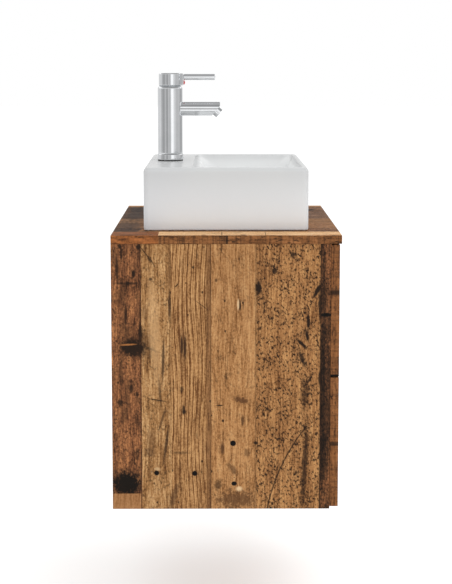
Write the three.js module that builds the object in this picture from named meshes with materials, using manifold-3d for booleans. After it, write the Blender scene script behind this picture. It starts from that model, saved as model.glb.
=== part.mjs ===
// Wall-hung bathroom vanity with two drawers, a vessel basin and a single-lever tap.
// Millimetres, +Z up, front faces -Y, the wall is the plane at the back of the cabinet.
import * as THREE from "three";
import { mergeVertices } from "three/addons/utils/BufferGeometryUtils.js";
import Module from "manifold-3d";

const wasm = await Module();
wasm.setup();

// overall sizes
const cabinetWidth = 520;
const cabinetDepth = 410;
const cabinetHeight = 498;
const boardThickness = 15;
const jointGap = 0.3;

// drawers
const topOverhang = 3.5;
const frontThickness = 15;
const frontGap = 2.2;
const frontLift = 4.5;
const frontBelowTop = 2;
const drawerBackSpace = 76.2;
const drawerBoxDrop = 51.65;
const drawerBoxClearance = 7;
const drawerBoardThickness = 12;
const drawerBottomThickness = 8;
const runnerSpace = 13;
const runnerHeight = 45;
const runnerSheet = 1.2;
const gripWidth = 130;
const gripDepth = 20;

// hanging hardware
const upperRailHeight = 58;
const lowerRailHeight = 75;
const hangerThickness = 15;
const hangerDepth = 40;
const hangerHeight = 48;
const hangerInset = 3;
const hookWidth = 8;
const hookHeight = 14;
const hookDrop = 40;

// basin
const basinLength = 380;
const basinDepth = 300;
const basinHeight = 115;
const basinCorner = 10;
const basinEdge = 8;
const ceramicThickness = 12;
const bowlBedThickness = 27;
const bowlFrontLean = 22;
const bowlBackRound = 20;
const bowlFrontRound = 16;
const bowlSideRound = 16;
const ledgeDepth = 90;

// tap
const tapSetback = 43.1;
const tapHoleRadius = 17.5;
const tapBaseHeight = 13.5;
const tapBodyRadius = 23.85;
const tapHeight = 168.5;
const capHeight = 23;
const spoutRadius = 13.6;
const spoutReach = 96.4;
const spoutHeight = 99.9;
const leverReach = 87;
const leverRadius = 5.9;
const leverDrop = 7.5;
const indexRadius = 4.3;

// waste and trap
const wasteTubeRadius = 20.5;
const wasteTubeWall = 3;
const hoseHoleRadius = 25;
const sealThickness = 4;
const wasteNutHeight = 10;
const trapPipeRadius = 16;
const trapPipeWall = 1.5;
const trapBodyRadius = 30;
const trapBodyHeight = 100;
const rosetteRadius = 32;

const halfWidth = cabinetWidth / 2;
const wallY = cabinetDepth / 2;
const carcassFrontY = -wallY + topOverhang + frontThickness + jointGap;
const topUnder = cabinetHeight - boardThickness;
const innerHalf = halfWidth - boardThickness;
const drawerHalf = innerHalf - runnerSpace;
const drawerBackY = wallY - boardThickness - drawerBackSpace;
const drawerDepth = drawerBackY - carcassFrontY;
const rimZ = cabinetHeight + basinHeight;
const basinBackY = basinDepth / 2;
const bowlBackY = basinBackY - ledgeDepth;
const bowlFrontY = -basinBackY + ceramicThickness;
const bowlFloorZ = cabinetHeight + bowlBedThickness;
const bowlDepth = rimZ - bowlFloorZ;
const flangeRadius = wasteTubeRadius + 11;
const wasteHoleRadius = wasteTubeRadius + 4.5;
// the flat floor just holds the waste flange; what is left of the length is the sloping back wall
const floorLength = 2 * flangeRadius + 6;
const bowlFrontRun = bowlDepth * Math.tan(THREE.MathUtils.degToRad(bowlFrontLean));
const floorFrontY = bowlFrontY + bowlFrontRun + bowlFrontRound;
const floorBackY = floorFrontY + floorLength;
const bowlBackRun = bowlBackY - floorBackY - bowlBackRound;
const wasteY = (floorBackY + floorFrontY) / 2;
const tapY = basinBackY - tapSetback;
const tapCapRadius = tapBodyRadius - 2.15;
const tapCapLow = tapHeight - capHeight;
const tapBodyTop = tapCapLow - 2;
const wasteTailLow = topUnder - 50;

const oldWood = finish("#7d5a3c", 0.72, 0);
const birch = finish("#c9ab7f", 0.6, 0);
const ceramic = finish("#f4f5f4", 0.12, 0);
const chrome = finish("#d5d8db", 0.08, 1);
const zinc = finish("#a9adb0", 0.35, 1);
const brass = finish("#b59a55", 0.35, 1);
const rubber = finish("#222222", 0.85, 0);
const plastic = finish("#e6e6e2", 0.45, 0);
const marker = finish("#c4262b", 0.35, 0);

function finish(color, roughness, metalness) {
  return { color, roughness, metalness };
}

// closed triangle solid from any three.js geometry
function solid(geometry) {
  geometry.deleteAttribute("normal");
  geometry.deleteAttribute("uv");
  const merged = mergeVertices(geometry, 1e-4);
  const position = merged.attributes.position.array;
  const triangles = [];
  for (let i = 0; i < merged.index.count; i += 3) {
    const [a, b, c] = merged.index.array.slice(i, i + 3);
    if (a !== b && b !== c && c !== a) triangles.push(a, b, c);
  }
  if (signedVolume(position, triangles) < 0) triangles.reverse();
  return new wasm.Manifold(new wasm.Mesh({
    numProp: 3,
    vertProperties: new Float32Array(position),
    triVerts: new Uint32Array(triangles),
  }));
}

function signedVolume(position, triangles) {
  const corner = (index) => new THREE.Vector3().fromArray(position, index * 3);
  let volume = 0;
  for (let i = 0; i < triangles.length; i += 3) {
    const [a, b, c] = [0, 1, 2].map((step) => corner(triangles[i + step]));
    volume += a.dot(b.cross(c)) / 6;
  }
  return volume;
}

function piece(name, shape, look) {
  const mesh = shape.getMesh();
  const geometry = new THREE.BufferGeometry();
  geometry.setAttribute("position", new THREE.BufferAttribute(mesh.vertProperties, 3));
  geometry.setIndex(new THREE.BufferAttribute(mesh.triVerts, 1));
  geometry.computeVertexNormals();
  const made = new THREE.Mesh(geometry, new THREE.MeshStandardMaterial(look));
  made.name = name;
  return made;
}

function block(lowX, highX, lowY, highY, lowZ, highZ) {
  const geometry = new THREE.BoxGeometry(highX - lowX, highY - lowY, highZ - lowZ);
  geometry.translate((lowX + highX) / 2, (lowY + highY) / 2, (lowZ + highZ) / 2);
  return solid(geometry);
}

function upright(radius, lowZ, highZ, y, x = 0, sides = 32) {
  const geometry = new THREE.CylinderGeometry(radius, radius, highZ - lowZ, sides);
  geometry.rotateX(Math.PI / 2);
  geometry.translate(x, y, (lowZ + highZ) / 2);
  return solid(geometry);
}

function lengthwise(radius, lowY, highY, z, sides = 32) {
  const geometry = new THREE.CylinderGeometry(radius, radius, highY - lowY, sides);
  geometry.translate(0, (lowY + highY) / 2, z);
  return solid(geometry);
}

// profile of [radius, height] pairs turned round the vertical axis at y
function turned(profile, y, sides = 32) {
  const points = profile.map(([radius, height]) => new THREE.Vector2(radius, height));
  points.push(points[0].clone());
  const geometry = new THREE.LatheGeometry(points, sides);
  geometry.rotateX(Math.PI / 2);
  geometry.translate(0, y, 0);
  return solid(geometry);
}

// profile of [forward, height] pairs made into a slab across X
function slab(profile, lowX, highX, originY, bevel = 0) {
  const outline = new THREE.Shape(profile.map(([forward, height]) => new THREE.Vector2(forward, height)));
  const geometry = new THREE.ExtrudeGeometry(outline, {
    depth: highX - lowX - 2 * bevel,
    bevelEnabled: bevel > 0,
    bevelThickness: bevel,
    bevelSize: bevel,
    bevelOffset: -bevel,
    bevelSegments: 4,
  });
  // drawing plane: first value runs forward (-Y), second runs up, depth runs across
  geometry.applyMatrix4(new THREE.Matrix4().set(
    0, 0, 1, lowX + bevel,
    -1, 0, 0, originY,
    0, 1, 0, 0,
    0, 0, 0, 1,
  ));
  return solid(geometry);
}

function roundedPlate(lowX, highX, lowY, highY, corner) {
  const outline = new THREE.Shape();
  outline.moveTo(lowX + corner, lowY);
  outline.lineTo(highX - corner, lowY);
  outline.absarc(highX - corner, lowY + corner, corner, -Math.PI / 2, 0);
  outline.lineTo(highX, highY - corner);
  outline.absarc(highX - corner, highY - corner, corner, 0, Math.PI / 2);
  outline.lineTo(lowX + corner, highY);
  outline.absarc(lowX + corner, highY - corner, corner, Math.PI / 2, Math.PI);
  outline.lineTo(lowX, lowY + corner);
  outline.absarc(lowX + corner, lowY + corner, corner, Math.PI, Math.PI * 1.5);
  return outline;
}

function makeTopPanel() {
  const wasteHole = upright(wasteHoleRadius, topUnder - 1, cabinetHeight + 1, wasteY);
  const hoseHole = upright(hoseHoleRadius, topUnder - 1, cabinetHeight + 1, tapY);
  const panel = block(-halfWidth, halfWidth, -wallY, wallY, topUnder, cabinetHeight);
  return piece("top_panel", panel.subtract(wasteHole).subtract(hoseHole), oldWood);
}

function makeSidePanel(name, side) {
  const [low, high] = side < 0 ? [-halfWidth, -innerHalf] : [innerHalf, halfWidth];
  return piece(name, block(low, high, carcassFrontY, wallY, 0, topUnder - jointGap), oldWood);
}

function makeBottomPanel() {
  const reach = innerHalf - jointGap;
  const panel = block(-reach, reach, carcassFrontY, wallY, 0, boardThickness);
  return piece("bottom_panel", panel, oldWood);
}

const hookZ = topUnder - hookDrop;
const railFrontY = wallY - boardThickness;

function hookX(side) {
  return side * (innerHalf - hangerInset - hookWidth / 2);
}

function makeUpperRail() {
  const reach = innerHalf - jointGap;
  let rail = block(-reach, reach, railFrontY, wallY, topUnder - upperRailHeight, topUnder - jointGap);
  for (const side of [-1, 1]) {
    const slotHalf = hookWidth / 2 + 1;
    const slotReach = hookHeight / 2 + 2;
    rail = rail.subtract(block(hookX(side) - slotHalf, hookX(side) + slotHalf,
      railFrontY - 1, wallY + 1, hookZ - slotReach, hookZ + slotReach));
  }
  return piece("back_rail_upper", rail, birch);
}

function makeLowerRail() {
  const reach = innerHalf - jointGap;
  const low = boardThickness + jointGap;
  const rail = block(-reach, reach, railFrontY, wallY, low, low + lowerRailHeight);
  return piece("back_rail_lower", rail, birch);
}

// hanging bracket screwed inside a side panel, its hook reaching through the rail to the wall
function makeHanger(name, side) {
  const edges = [side * (innerHalf - jointGap), side * (innerHalf - jointGap - hangerThickness)];
  const backY = railFrontY - jointGap;
  const body = block(Math.min(...edges), Math.max(...edges), backY - hangerDepth, backY,
    hookZ - hangerHeight / 2, hookZ + hangerHeight / 2);
  const hook = block(hookX(side) - hookWidth / 2, hookX(side) + hookWidth / 2,
    backY - 5, wallY - 1, hookZ - hookHeight / 2, hookZ + hookHeight / 2);
  return piece(name, body.add(hook), zinc);
}

const frontHeight = (topUnder - frontBelowTop - frontLift - frontGap) / 2;
const upperFrontLow = frontLift + frontHeight + frontGap;
const boxRise = boardThickness + drawerBoxClearance - frontLift;
const drawerBoxHeight = frontHeight - boxRise - drawerBoxDrop;
const drawers = {
  lower: { frontLow: frontLift, boxLow: frontLift + boxRise },
  upper: { frontLow: upperFrontLow, boxLow: upperFrontLow + boxRise },
};

function makeFront(name, drawer) {
  const frontY = -wallY + topOverhang;
  const backY = frontY + frontThickness;
  const high = drawer.frontLow + frontHeight;
  const board = block(-halfWidth, halfWidth, frontY, backY, drawer.frontLow, high);
  const grip = block(-gripWidth / 2, gripWidth / 2, frontY - 1, backY + 1, high - gripDepth, high + 1);
  return piece(name, board.subtract(grip), oldWood);
}

function makeDrawerSide(name, side, drawer) {
  const inner = drawerHalf - drawerBoardThickness;
  const [low, high] = side < 0 ? [-drawerHalf, -inner] : [inner, drawerHalf];
  const boxHigh = drawer.boxLow + drawerBoxHeight;
  return piece(name, block(low, high, carcassFrontY, drawerBackY, drawer.boxLow, boxHigh), birch);
}

const drawerInner = drawerHalf - drawerBoardThickness - jointGap;
const drawerBackFace = drawerBackY - drawerBoardThickness;
const drawerBottomLift = 8;
const notchHalf = trapBodyRadius + 20;
const notchFrontY = wasteY - trapBodyRadius - 12;
const notchWall = 6;

function drawerBackBoard(lowX, highX, drawer) {
  return block(lowX, highX, drawerBackFace, drawerBackY, drawer.boxLow, drawer.boxLow + drawerBoxHeight);
}

function drawerBottomBoard(drawer) {
  const low = drawer.boxLow + drawerBottomLift;
  return block(-drawerInner, drawerInner, carcassFrontY, drawerBackFace - jointGap,
    low, low + drawerBottomThickness);
}

function makeLowerDrawer() {
  const drawer = drawers.lower;
  return [
    makeFront("lower_front", drawer),
    makeDrawerSide("lower_side_left", -1, drawer),
    makeDrawerSide("lower_side_right", 1, drawer),
    piece("lower_back", drawerBackBoard(-drawerInner, drawerInner, drawer), birch),
    piece("lower_bottom", drawerBottomBoard(drawer), birch),
  ];
}

// moulded U-shaped liner that walls the cut-out round the trap
function makeNotchLiner(drawer) {
  const low = drawer.boxLow;
  const high = low + drawerBoxHeight;
  const reach = notchHalf + notchWall;
  const outer = block(-reach, reach, notchFrontY - notchWall, drawerBackY, low, high);
  const inner = block(-notchHalf, notchHalf, notchFrontY, drawerBackY + 1, low - 1, high + 1);
  return piece("upper_notch_liner", outer.subtract(inner), plastic);
}

function makeUpperDrawer() {
  const drawer = drawers.upper;
  const cut = notchHalf + notchWall + jointGap;
  const cutOut = block(-cut, cut, notchFrontY - notchWall - jointGap, drawerBackY + 1,
    drawer.boxLow - 1, drawer.boxLow + drawerBoxHeight + 1);
  return [
    makeFront("upper_front", drawer),
    makeDrawerSide("upper_side_left", -1, drawer),
    makeDrawerSide("upper_side_right", 1, drawer),
    piece("upper_back_left", drawerBackBoard(-drawerInner, -cut, drawer), birch),
    piece("upper_back_right", drawerBackBoard(cut, drawerInner, drawer), birch),
    piece("upper_bottom", drawerBottomBoard(drawer).subtract(cutOut), birch),
    makeNotchLiner(drawer),
  ];
}

// channel along Y: web at webX, flanges reaching to edgeX, half height half
function channel(webX, edgeX, half, centreZ) {
  const toward = Math.sign(edgeX - webX);
  const inX = webX + toward * runnerSheet;
  const outline = new THREE.Shape([
    [webX, -half], [edgeX, -half], [edgeX, -half + runnerSheet], [inX, -half + runnerSheet],
    [inX, half - runnerSheet], [edgeX, half - runnerSheet], [edgeX, half], [webX, half],
  ].map(([x, z]) => new THREE.Vector2(x, z)));
  const length = drawerDepth - 4;
  const geometry = new THREE.ExtrudeGeometry(outline, { depth: length, bevelEnabled: false });
  geometry.rotateX(Math.PI / 2);
  geometry.translate(0, drawerBackY - 2, centreZ);
  return solid(geometry);
}

// telescopic runner: outer member on the cabinet, middle member, inner member on the drawer
function makeRunner(drawerName, side) {
  const sideName = side < 0 ? "left" : "right";
  const centreZ = drawers[drawerName].boxLow + runnerHeight;
  const half = runnerHeight / 2;
  const wall = innerHalf - jointGap;
  const box = drawerHalf + jointGap;
  const step = runnerSheet + 0.6;
  const members = {
    outer: channel(side * wall, side * (box + 2), half, centreZ),
    middle: channel(side * (wall - step), side * (box + 2.4), half - step, centreZ),
    inner: channel(side * box, side * (wall - 2 * step), half - 2 * step, centreZ),
  };
  return Object.entries(members).map(([member, shape]) => (
    piece(`${drawerName}_runner_${sideName}_${member}`, shape, zinc)));
}

// bowl hollow seen from the side: sloping back wall under the ledge, steeper front wall
function bowlHollow() {
  const above = 30;
  const backSlope = bowlBackRun / bowlDepth;
  const frontSlope = bowlFrontRun / bowlDepth;
  const length = bowlBackY - bowlFrontY;
  const frontFoot = length - bowlFrontRun;
  const outline = [
    [-above * backSlope, rimZ + above],
    [bowlBackRun - bowlBackRound * backSlope, bowlFloorZ + bowlBackRound],
    [bowlBackRun + bowlBackRound * 0.15, bowlFloorZ + bowlBackRound * 0.32],
    [bowlBackRun + bowlBackRound, bowlFloorZ],
    [frontFoot - bowlFrontRound, bowlFloorZ],
    [frontFoot - bowlFrontRound * 0.1, bowlFloorZ + bowlFrontRound * 0.32],
    [frontFoot + bowlFrontRound * frontSlope, bowlFloorZ + bowlFrontRound],
    [length + above * frontSlope, rimZ + above],
  ];
  const reach = basinLength / 2 - ceramicThickness;
  return slab(outline, -reach, reach, bowlBackY, bowlSideRound);
}

function makeBasin() {
  const lowZ = cabinetHeight + jointGap;
  const outline = roundedPlate(-basinLength / 2 + basinEdge, basinLength / 2 - basinEdge,
    -basinBackY + basinEdge, basinBackY - basinEdge, basinCorner - basinEdge + 2);
  const outerGeometry = new THREE.ExtrudeGeometry(outline, {
    depth: basinHeight + 20 - 2 * basinEdge,
    bevelThickness: basinEdge,
    bevelSize: basinEdge,
    bevelSegments: 3,
    curveSegments: 4,
  });
  outerGeometry.translate(0, 0, rimZ - basinHeight - 20 + basinEdge);
  const below = block(-300, 300, -300, 300, lowZ - 60, lowZ);
  const reach = basinLength / 2 - ceramicThickness;
  const underBowl = block(-reach, reach, bowlFrontY, basinBackY - ceramicThickness,
    lowZ - 1, bowlFloorZ - ceramicThickness);
  const underLedge = block(-reach, reach, bowlBackY + ceramicThickness, basinBackY - ceramicThickness,
    lowZ - 1, rimZ - ceramicThickness);
  const wasteBoss = upright(wasteHoleRadius + 9.5, lowZ, bowlFloorZ - 1, wasteY);
  const wasteHole = upright(wasteHoleRadius - 2, lowZ - 5, bowlFloorZ + 5, wasteY);
  const tapHole = upright(tapHoleRadius, rimZ - ceramicThickness - 5, rimZ + 5, tapY);
  const shape = solid(outerGeometry).subtract(below).subtract(underBowl.add(underLedge))
    .add(wasteBoss).subtract(bowlHollow()).subtract(wasteHole).subtract(tapHole);
  return piece("basin", shape, ceramic);
}

const wasteThroat = wasteTubeRadius - wasteTubeWall;
const flangeTubeLength = 22;
const plugRadius = flangeRadius - 2.5;

function makeWasteFlange() {
  const base = bowlFloorZ + jointGap;
  const ring = turned([
    [wasteThroat, base - flangeTubeLength], [wasteTubeRadius, base - flangeTubeLength],
    [wasteTubeRadius, base], [flangeRadius - 0.5, base], [flangeRadius, base + 1],
    [flangeRadius - 2.5, base + 3], [wasteThroat + 2, base + 3], [wasteThroat, base + 1],
  ], wasteY);
  return piece("waste_flange", ring, chrome);
}

const stemRadius = 3.4;

function makeWastePlug() {
  const base = bowlFloorZ + jointGap + 3.4;
  const button = turned([
    [0, base - 36], [stemRadius, base - 36], [stemRadius, base - 3],
    [wasteThroat - 2.5, base - 1], [wasteThroat - 1.5, base], [plugRadius - 1, base],
    [plugRadius, base + 1.5], [plugRadius - 5, base + 4], [plugRadius / 2, base + 5.5], [0, base + 6],
  ], wasteY);
  return piece("waste_plug", button, chrome);
}

// tail tube with the cross bar and collar that guide the plug's stem
function makeWasteTail() {
  const high = bowlFloorZ - flangeTubeLength;
  const tube = turned([
    [wasteThroat, wasteTailLow], [wasteTubeRadius, wasteTailLow],
    [wasteTubeRadius, high], [wasteThroat, high],
  ], wasteY);
  const reach = wasteThroat + 1;
  const bar = block(-reach, reach, wasteY - 2, wasteY + 2, high - 12, high - 6);
  const collar = upright(stemRadius + 3.6, high - 16, high - 2, wasteY, 0, 20);
  const stemHole = upright(stemRadius + 0.4, high - 30, high + 5, wasteY, 0, 20);
  return piece("waste_tail", tube.add(bar).add(collar).subtract(stemHole), chrome);
}

function makeWasteSeal() {
  const high = topUnder - jointGap;
  const low = high - sealThickness;
  const inner = wasteTubeRadius + jointGap;
  const outer = wasteHoleRadius + 8;
  const ring = turned([[inner, low], [outer, low], [outer, high], [inner, high]], wasteY);
  return piece("waste_gasket", ring, rubber);
}

function makeWasteNut() {
  const high = topUnder - sealThickness - 2 * jointGap;
  const nut = upright(wasteHoleRadius + 6, high - wasteNutHeight, high, wasteY, 0, 6);
  const bore = upright(wasteTubeRadius + jointGap, high - wasteNutHeight - 2, high + 2, wasteY);
  return piece("waste_nut", nut.subtract(bore), brass);
}

const trapTop = wasteTailLow - 18;
const trapLow = trapTop - trapBodyHeight;
const trapOutletZ = trapTop - trapPipeRadius - 10;
const trapWall = trapBodyRadius - 2.5;
const cupTop = trapLow + 42;

// the dip tube; its upper end is a spigot that slides up inside the waste's tail
function makeTrapInlet() {
  const inner = trapPipeRadius - trapPipeWall;
  const spigot = wasteThroat - 1.5;
  const bore = spigot - trapPipeWall;
  const collar = wasteTubeRadius + 5.5;
  const collarLow = wasteTailLow - 14;
  const collarHigh = wasteTailLow - jointGap;
  const high = wasteTailLow + 30;
  const tube = turned([
    [inner, trapLow + 24], [trapPipeRadius, trapLow + 24], [trapPipeRadius, collarLow],
    [collar, collarLow], [collar, collarHigh], [spigot, collarHigh],
    [spigot, high], [bore, high], [bore, collarHigh - 3], [inner, collarLow + 3],
  ], wasteY);
  return piece("trap_inlet", tube, chrome);
}

function makeTrapBody() {
  const neck = trapPipeRadius + jointGap;
  const shell = turned([
    [trapWall, cupTop], [trapBodyRadius, cupTop], [trapBodyRadius, trapTop - 8],
    [trapBodyRadius - 6, trapTop], [neck, trapTop], [neck, trapTop - 5],
    [trapWall - 3, trapTop - 8], [trapWall, trapTop - 12],
  ], wasteY);
  const branchStart = wasteY + trapBodyRadius - 8;
  const branchEnd = wasteY + trapBodyRadius + 18;
  const branch = lengthwise(trapPipeRadius + 4, branchStart, branchEnd, trapOutletZ);
  const bore = lengthwise(neck, branchStart - 2, branchEnd + 2, trapOutletZ);
  const clearInside = upright(trapWall, cupTop - 1, trapTop - 12, wasteY);
  return piece("trap_body", shell.add(branch.subtract(clearInside)).subtract(bore), chrome);
}

function makeTrapCup() {
  const high = cupTop - jointGap;
  const gripRadius = trapBodyRadius + 2;
  const cup = turned([
    [0, trapLow], [trapBodyRadius - 8, trapLow], [trapBodyRadius, trapLow + 8],
    [trapBodyRadius, trapLow + 26], [gripRadius, trapLow + 28], [gripRadius, high], [trapWall, high],
    [trapWall, trapLow + 10], [trapBodyRadius - 10, trapLow + 3], [0, trapLow + 3],
  ], wasteY);
  return piece("trap_cup", cup, chrome);
}

function tubeAlongY(outer, inner, lowY, highY, z) {
  return lengthwise(outer, lowY, highY, z).subtract(lengthwise(inner, lowY - 1, highY + 1, z));
}

function makeTrapOutlet() {
  const startY = wasteY + trapBodyRadius + 2;
  const inner = trapPipeRadius - trapPipeWall;
  const pipe = tubeAlongY(trapPipeRadius, inner, startY, wallY - jointGap, trapOutletZ);
  return piece("trap_outlet", pipe, chrome);
}

function makeTrapRosette() {
  const hole = trapPipeRadius + jointGap;
  const plate = tubeAlongY(rosetteRadius, hole, wallY - 5, wallY - jointGap, trapOutletZ);
  return piece("trap_rosette", plate, chrome);
}

const gasketThickness = 1.4;
const shankRadius = 14;
const tapBaseRadius = tapBodyRadius + 1.5;
const seatRadius = tapBodyRadius - 6.3;
const seatDepth = 38;
const waterway = 6;
const spoutZ = rimZ + spoutHeight;

function makeTapGasket() {
  const low = rimZ + jointGap;
  const high = low + gasketThickness;
  const outer = tapBaseRadius - 1;
  const ring = turned([[shankRadius + 1, low], [outer, low], [outer, high], [shankRadius + 1, high]], tapY);
  return piece("tap_gasket", ring, rubber);
}

function makeTapBase() {
  const low = rimZ + gasketThickness + 2 * jointGap;
  const high = rimZ + tapBaseHeight;
  const flange = turned([
    [shankRadius, low], [tapBaseRadius - 0.6, low], [tapBaseRadius, low + 0.8],
    [tapBodyRadius + 0.9, high - 1], [tapBodyRadius + 0.3, high], [shankRadius, high],
  ], tapY, 40);
  return piece("tap_base", flange, chrome);
}

function makeTapBody() {
  const low = rimZ + tapBaseHeight + jointGap;
  const high = rimZ + tapBodyTop;
  const seat = high - seatDepth;
  const wellTop = low + 20;
  const port = spoutZ - 4;
  const body = turned([
    [shankRadius, low], [tapBodyRadius, low], [tapBodyRadius, high - 4],
    [tapBodyRadius - 1.2, high - 1.4], [tapCapRadius - 0.6, high], [seatRadius, high],
    [seatRadius, seat], [waterway - 1, seat], [waterway - 1, port], [0, port],
    [0, wellTop], [shankRadius, wellTop],
  ], tapY, 40);
  const outlet = lengthwise(waterway, tapY - tapBodyRadius - 2, tapY, spoutZ, 20);
  return piece("tap_body", body.subtract(outlet), chrome);
}

// the tip is cut on a slope, given by [forward, height] at its top and its underside
const tipTop = [spoutReach, spoutHeight + 6];
const tipUnder = [spoutReach - 16, spoutHeight - 13];
const aeratorRadius = 10;
const tipSlope = Math.atan2(tipTop[0] - tipUnder[0], tipTop[1] - tipUnder[1]);

// cylinder on the spout tip's own axis, which looks forward and down
function tipCylinder(radius, start, end, sides) {
  const geometry = new THREE.CylinderGeometry(radius, radius, end - start, sides);
  geometry.translate(0, (start + end) / 2, 0);
  geometry.rotateX(Math.PI + tipSlope);
  const [middle, height] = [0, 1].map((axis) => (tipTop[axis] + tipUnder[axis]) / 2);
  geometry.translate(0, tapY - middle, rimZ + height);
  return solid(geometry);
}

function makeTapSpout() {
  const tube = lengthwise(spoutRadius, tapY - spoutReach, tapY, spoutZ, 36);
  const saddle = upright(tapBodyRadius + jointGap, spoutZ - 40, spoutZ + 40, tapY, 0, 48);
  const tipCut = tipCylinder(60, 0, 60, 6);
  const socket = tipCylinder(aeratorRadius + jointGap, -14, 5, 28);
  const channelBore = lengthwise(waterway, tapY - spoutReach + 23, tapY, spoutZ, 20);
  const shape = tube.subtract(saddle).subtract(tipCut).subtract(socket).subtract(channelBore);
  return piece("tap_spout", shape, chrome);
}

function makeTapAerator() {
  const ring = tipCylinder(aeratorRadius, -13, 9, 28);
  const mouth = tipCylinder(aeratorRadius - 2.4, 6, 11, 24);
  return piece("tap_aerator", ring.subtract(mouth), chrome);
}

const cartridgeRadius = seatRadius - 0.4;
const cartridgeNeck = cartridgeRadius - 7;
const shoulderDrop = 14;

function makeTapCartridge() {
  const high = rimZ + tapBodyTop;
  const low = high - seatDepth + jointGap;
  const shoulder = high - shoulderDrop;
  const core = turned([
    [0, low], [cartridgeRadius, low], [cartridgeRadius, shoulder], [cartridgeNeck, shoulder],
    [cartridgeNeck, high - 3], [4, high - 3], [4, high + 0.4], [0, high + 0.4],
  ], tapY, 28);
  return piece("tap_cartridge", core, plastic);
}

function makeCartridgeNut() {
  const high = rimZ + tapBodyTop - 1.5;
  const low = rimZ + tapBodyTop - shoulderDrop + jointGap;
  const inner = cartridgeNeck + 0.4;
  const ring = turned([
    [inner, low], [cartridgeRadius, low], [cartridgeRadius, high], [inner, high],
  ], tapY, 28);
  return piece("tap_cartridge_nut", ring, brass);
}

const carrierHalf = 7;
const carrierReach = tapBodyRadius + 1.9;
const pivotDrop = 11;
const capTopZ = rimZ + tapHeight;
const leverZ = capTopZ - leverDrop;
const capWall = 5.2;
const rodTenon = 2.7;

function makeTapCap() {
  const low = rimZ + tapCapLow;
  const high = rimZ + tapHeight;
  const inner = tapCapRadius - capWall;
  const shell = turned([
    [inner, low], [tapCapRadius, low], [tapCapRadius, high - 1.5], [tapCapRadius - 1.5, high],
    [0, high], [0, high - capWall], [inner, high - capWall],
  ], tapY, 40);
  const slotHalf = carrierHalf + 0.4;
  const slot = block(-slotHalf, slotHalf, tapY - 2 * tapCapRadius, tapY + 7.5, low - 1, high + 1);
  return piece("tap_cap", shell.subtract(slot), chrome);
}

// lever carrier: an eye round the tilt axis and a boss that stands out of the cap's slot
function makeLeverCarrier() {
  const eye = [];
  const eyeRadius = 6;
  for (let step = 0; step <= 6; step += 1) {
    const angle = Math.PI / 2 + (step / 6) * Math.PI;
    eye.push([eyeRadius * Math.cos(angle), capTopZ - pivotDrop + eyeRadius * Math.sin(angle)]);
  }
  const low = rimZ + tapCapLow - 0.4;
  const high = capTopZ - 0.6;
  const outline = [
    ...eye, [8, low], [carrierReach - 1, low], [carrierReach, low + 1.4],
    [carrierReach, high - 1.4], [carrierReach - 1.5, high], [8, high],
  ];
  const carrier = slab(outline, -carrierHalf, carrierHalf, tapY);
  const rodHole = lengthwise(rodTenon + jointGap, tapY - carrierReach - 2, tapY - 15, leverZ, 16);
  return piece("tap_lever_carrier", carrier.subtract(rodHole), chrome);
}

const rodStart = carrierReach + jointGap;

function makeLeverRod() {
  const points = [
    [0, 16], [rodTenon, 16], [rodTenon, rodStart], [leverRadius, rodStart],
    [leverRadius, leverReach - 1.6], [leverRadius - 1.6, leverReach], [0, leverReach],
  ].map(([radius, reach]) => new THREE.Vector2(radius, reach));
  points.push(points[0].clone());
  const geometry = new THREE.LatheGeometry(points, 28);
  geometry.rotateX(Math.PI);
  geometry.translate(0, tapY, leverZ);
  return piece("tap_lever_rod", solid(geometry), chrome);
}

function makeTapIndex() {
  const points = [[0, 0], [1, 0], [0.95, 1.1], [0.6, 2.3], [0, 2.9]]
    .map(([share, reach]) => new THREE.Vector2(share * indexRadius, rodStart + reach));
  points.push(points[0].clone());
  const geometry = new THREE.LatheGeometry(points, 20);
  geometry.rotateX(Math.PI);
  geometry.translate(0, tapY, leverZ - leverRadius - indexRadius - jointGap);
  return piece("tap_index", solid(geometry), marker);
}

// below the ledge: threaded stud, clamping washer and nut, and the two water inlets
const studY = tapY + 8;
const studRadius = 3.9;
const washerTop = rimZ - ceramicThickness - jointGap;
const washerThickness = 3;

function makeTapStud() {
  return piece("tap_stud", upright(studRadius, rimZ - 50, rimZ + 30, studY, 0, 16), zinc);
}

function makeTapWasher() {
  const low = washerTop - washerThickness;
  const disc = upright(tapHoleRadius + 6.5, low, washerTop, tapY, 0, 28);
  const hole = upright(studRadius + 0.4, low - 1, washerTop + 1, studY, 0, 16);
  const mouth = block(-shankRadius, shankRadius, tapY - 30, tapY + 1, low - 1, washerTop + 1);
  return piece("tap_washer", disc.subtract(hole).subtract(mouth), zinc);
}

function makeTapNut() {
  const high = washerTop - washerThickness - jointGap;
  const nut = upright(2 * studRadius, high - 10, high, studY, 0, 6);
  const bore = upright(studRadius + jointGap, high - 12, high + 2, studY, 0, 16);
  return piece("tap_nut", nut.subtract(bore), brass);
}

function makeTapInlet(name, side) {
  return piece(name, upright(4.6, rimZ - 60, rimZ + 30, tapY - 6, side * 7, 16), zinc);
}

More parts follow.
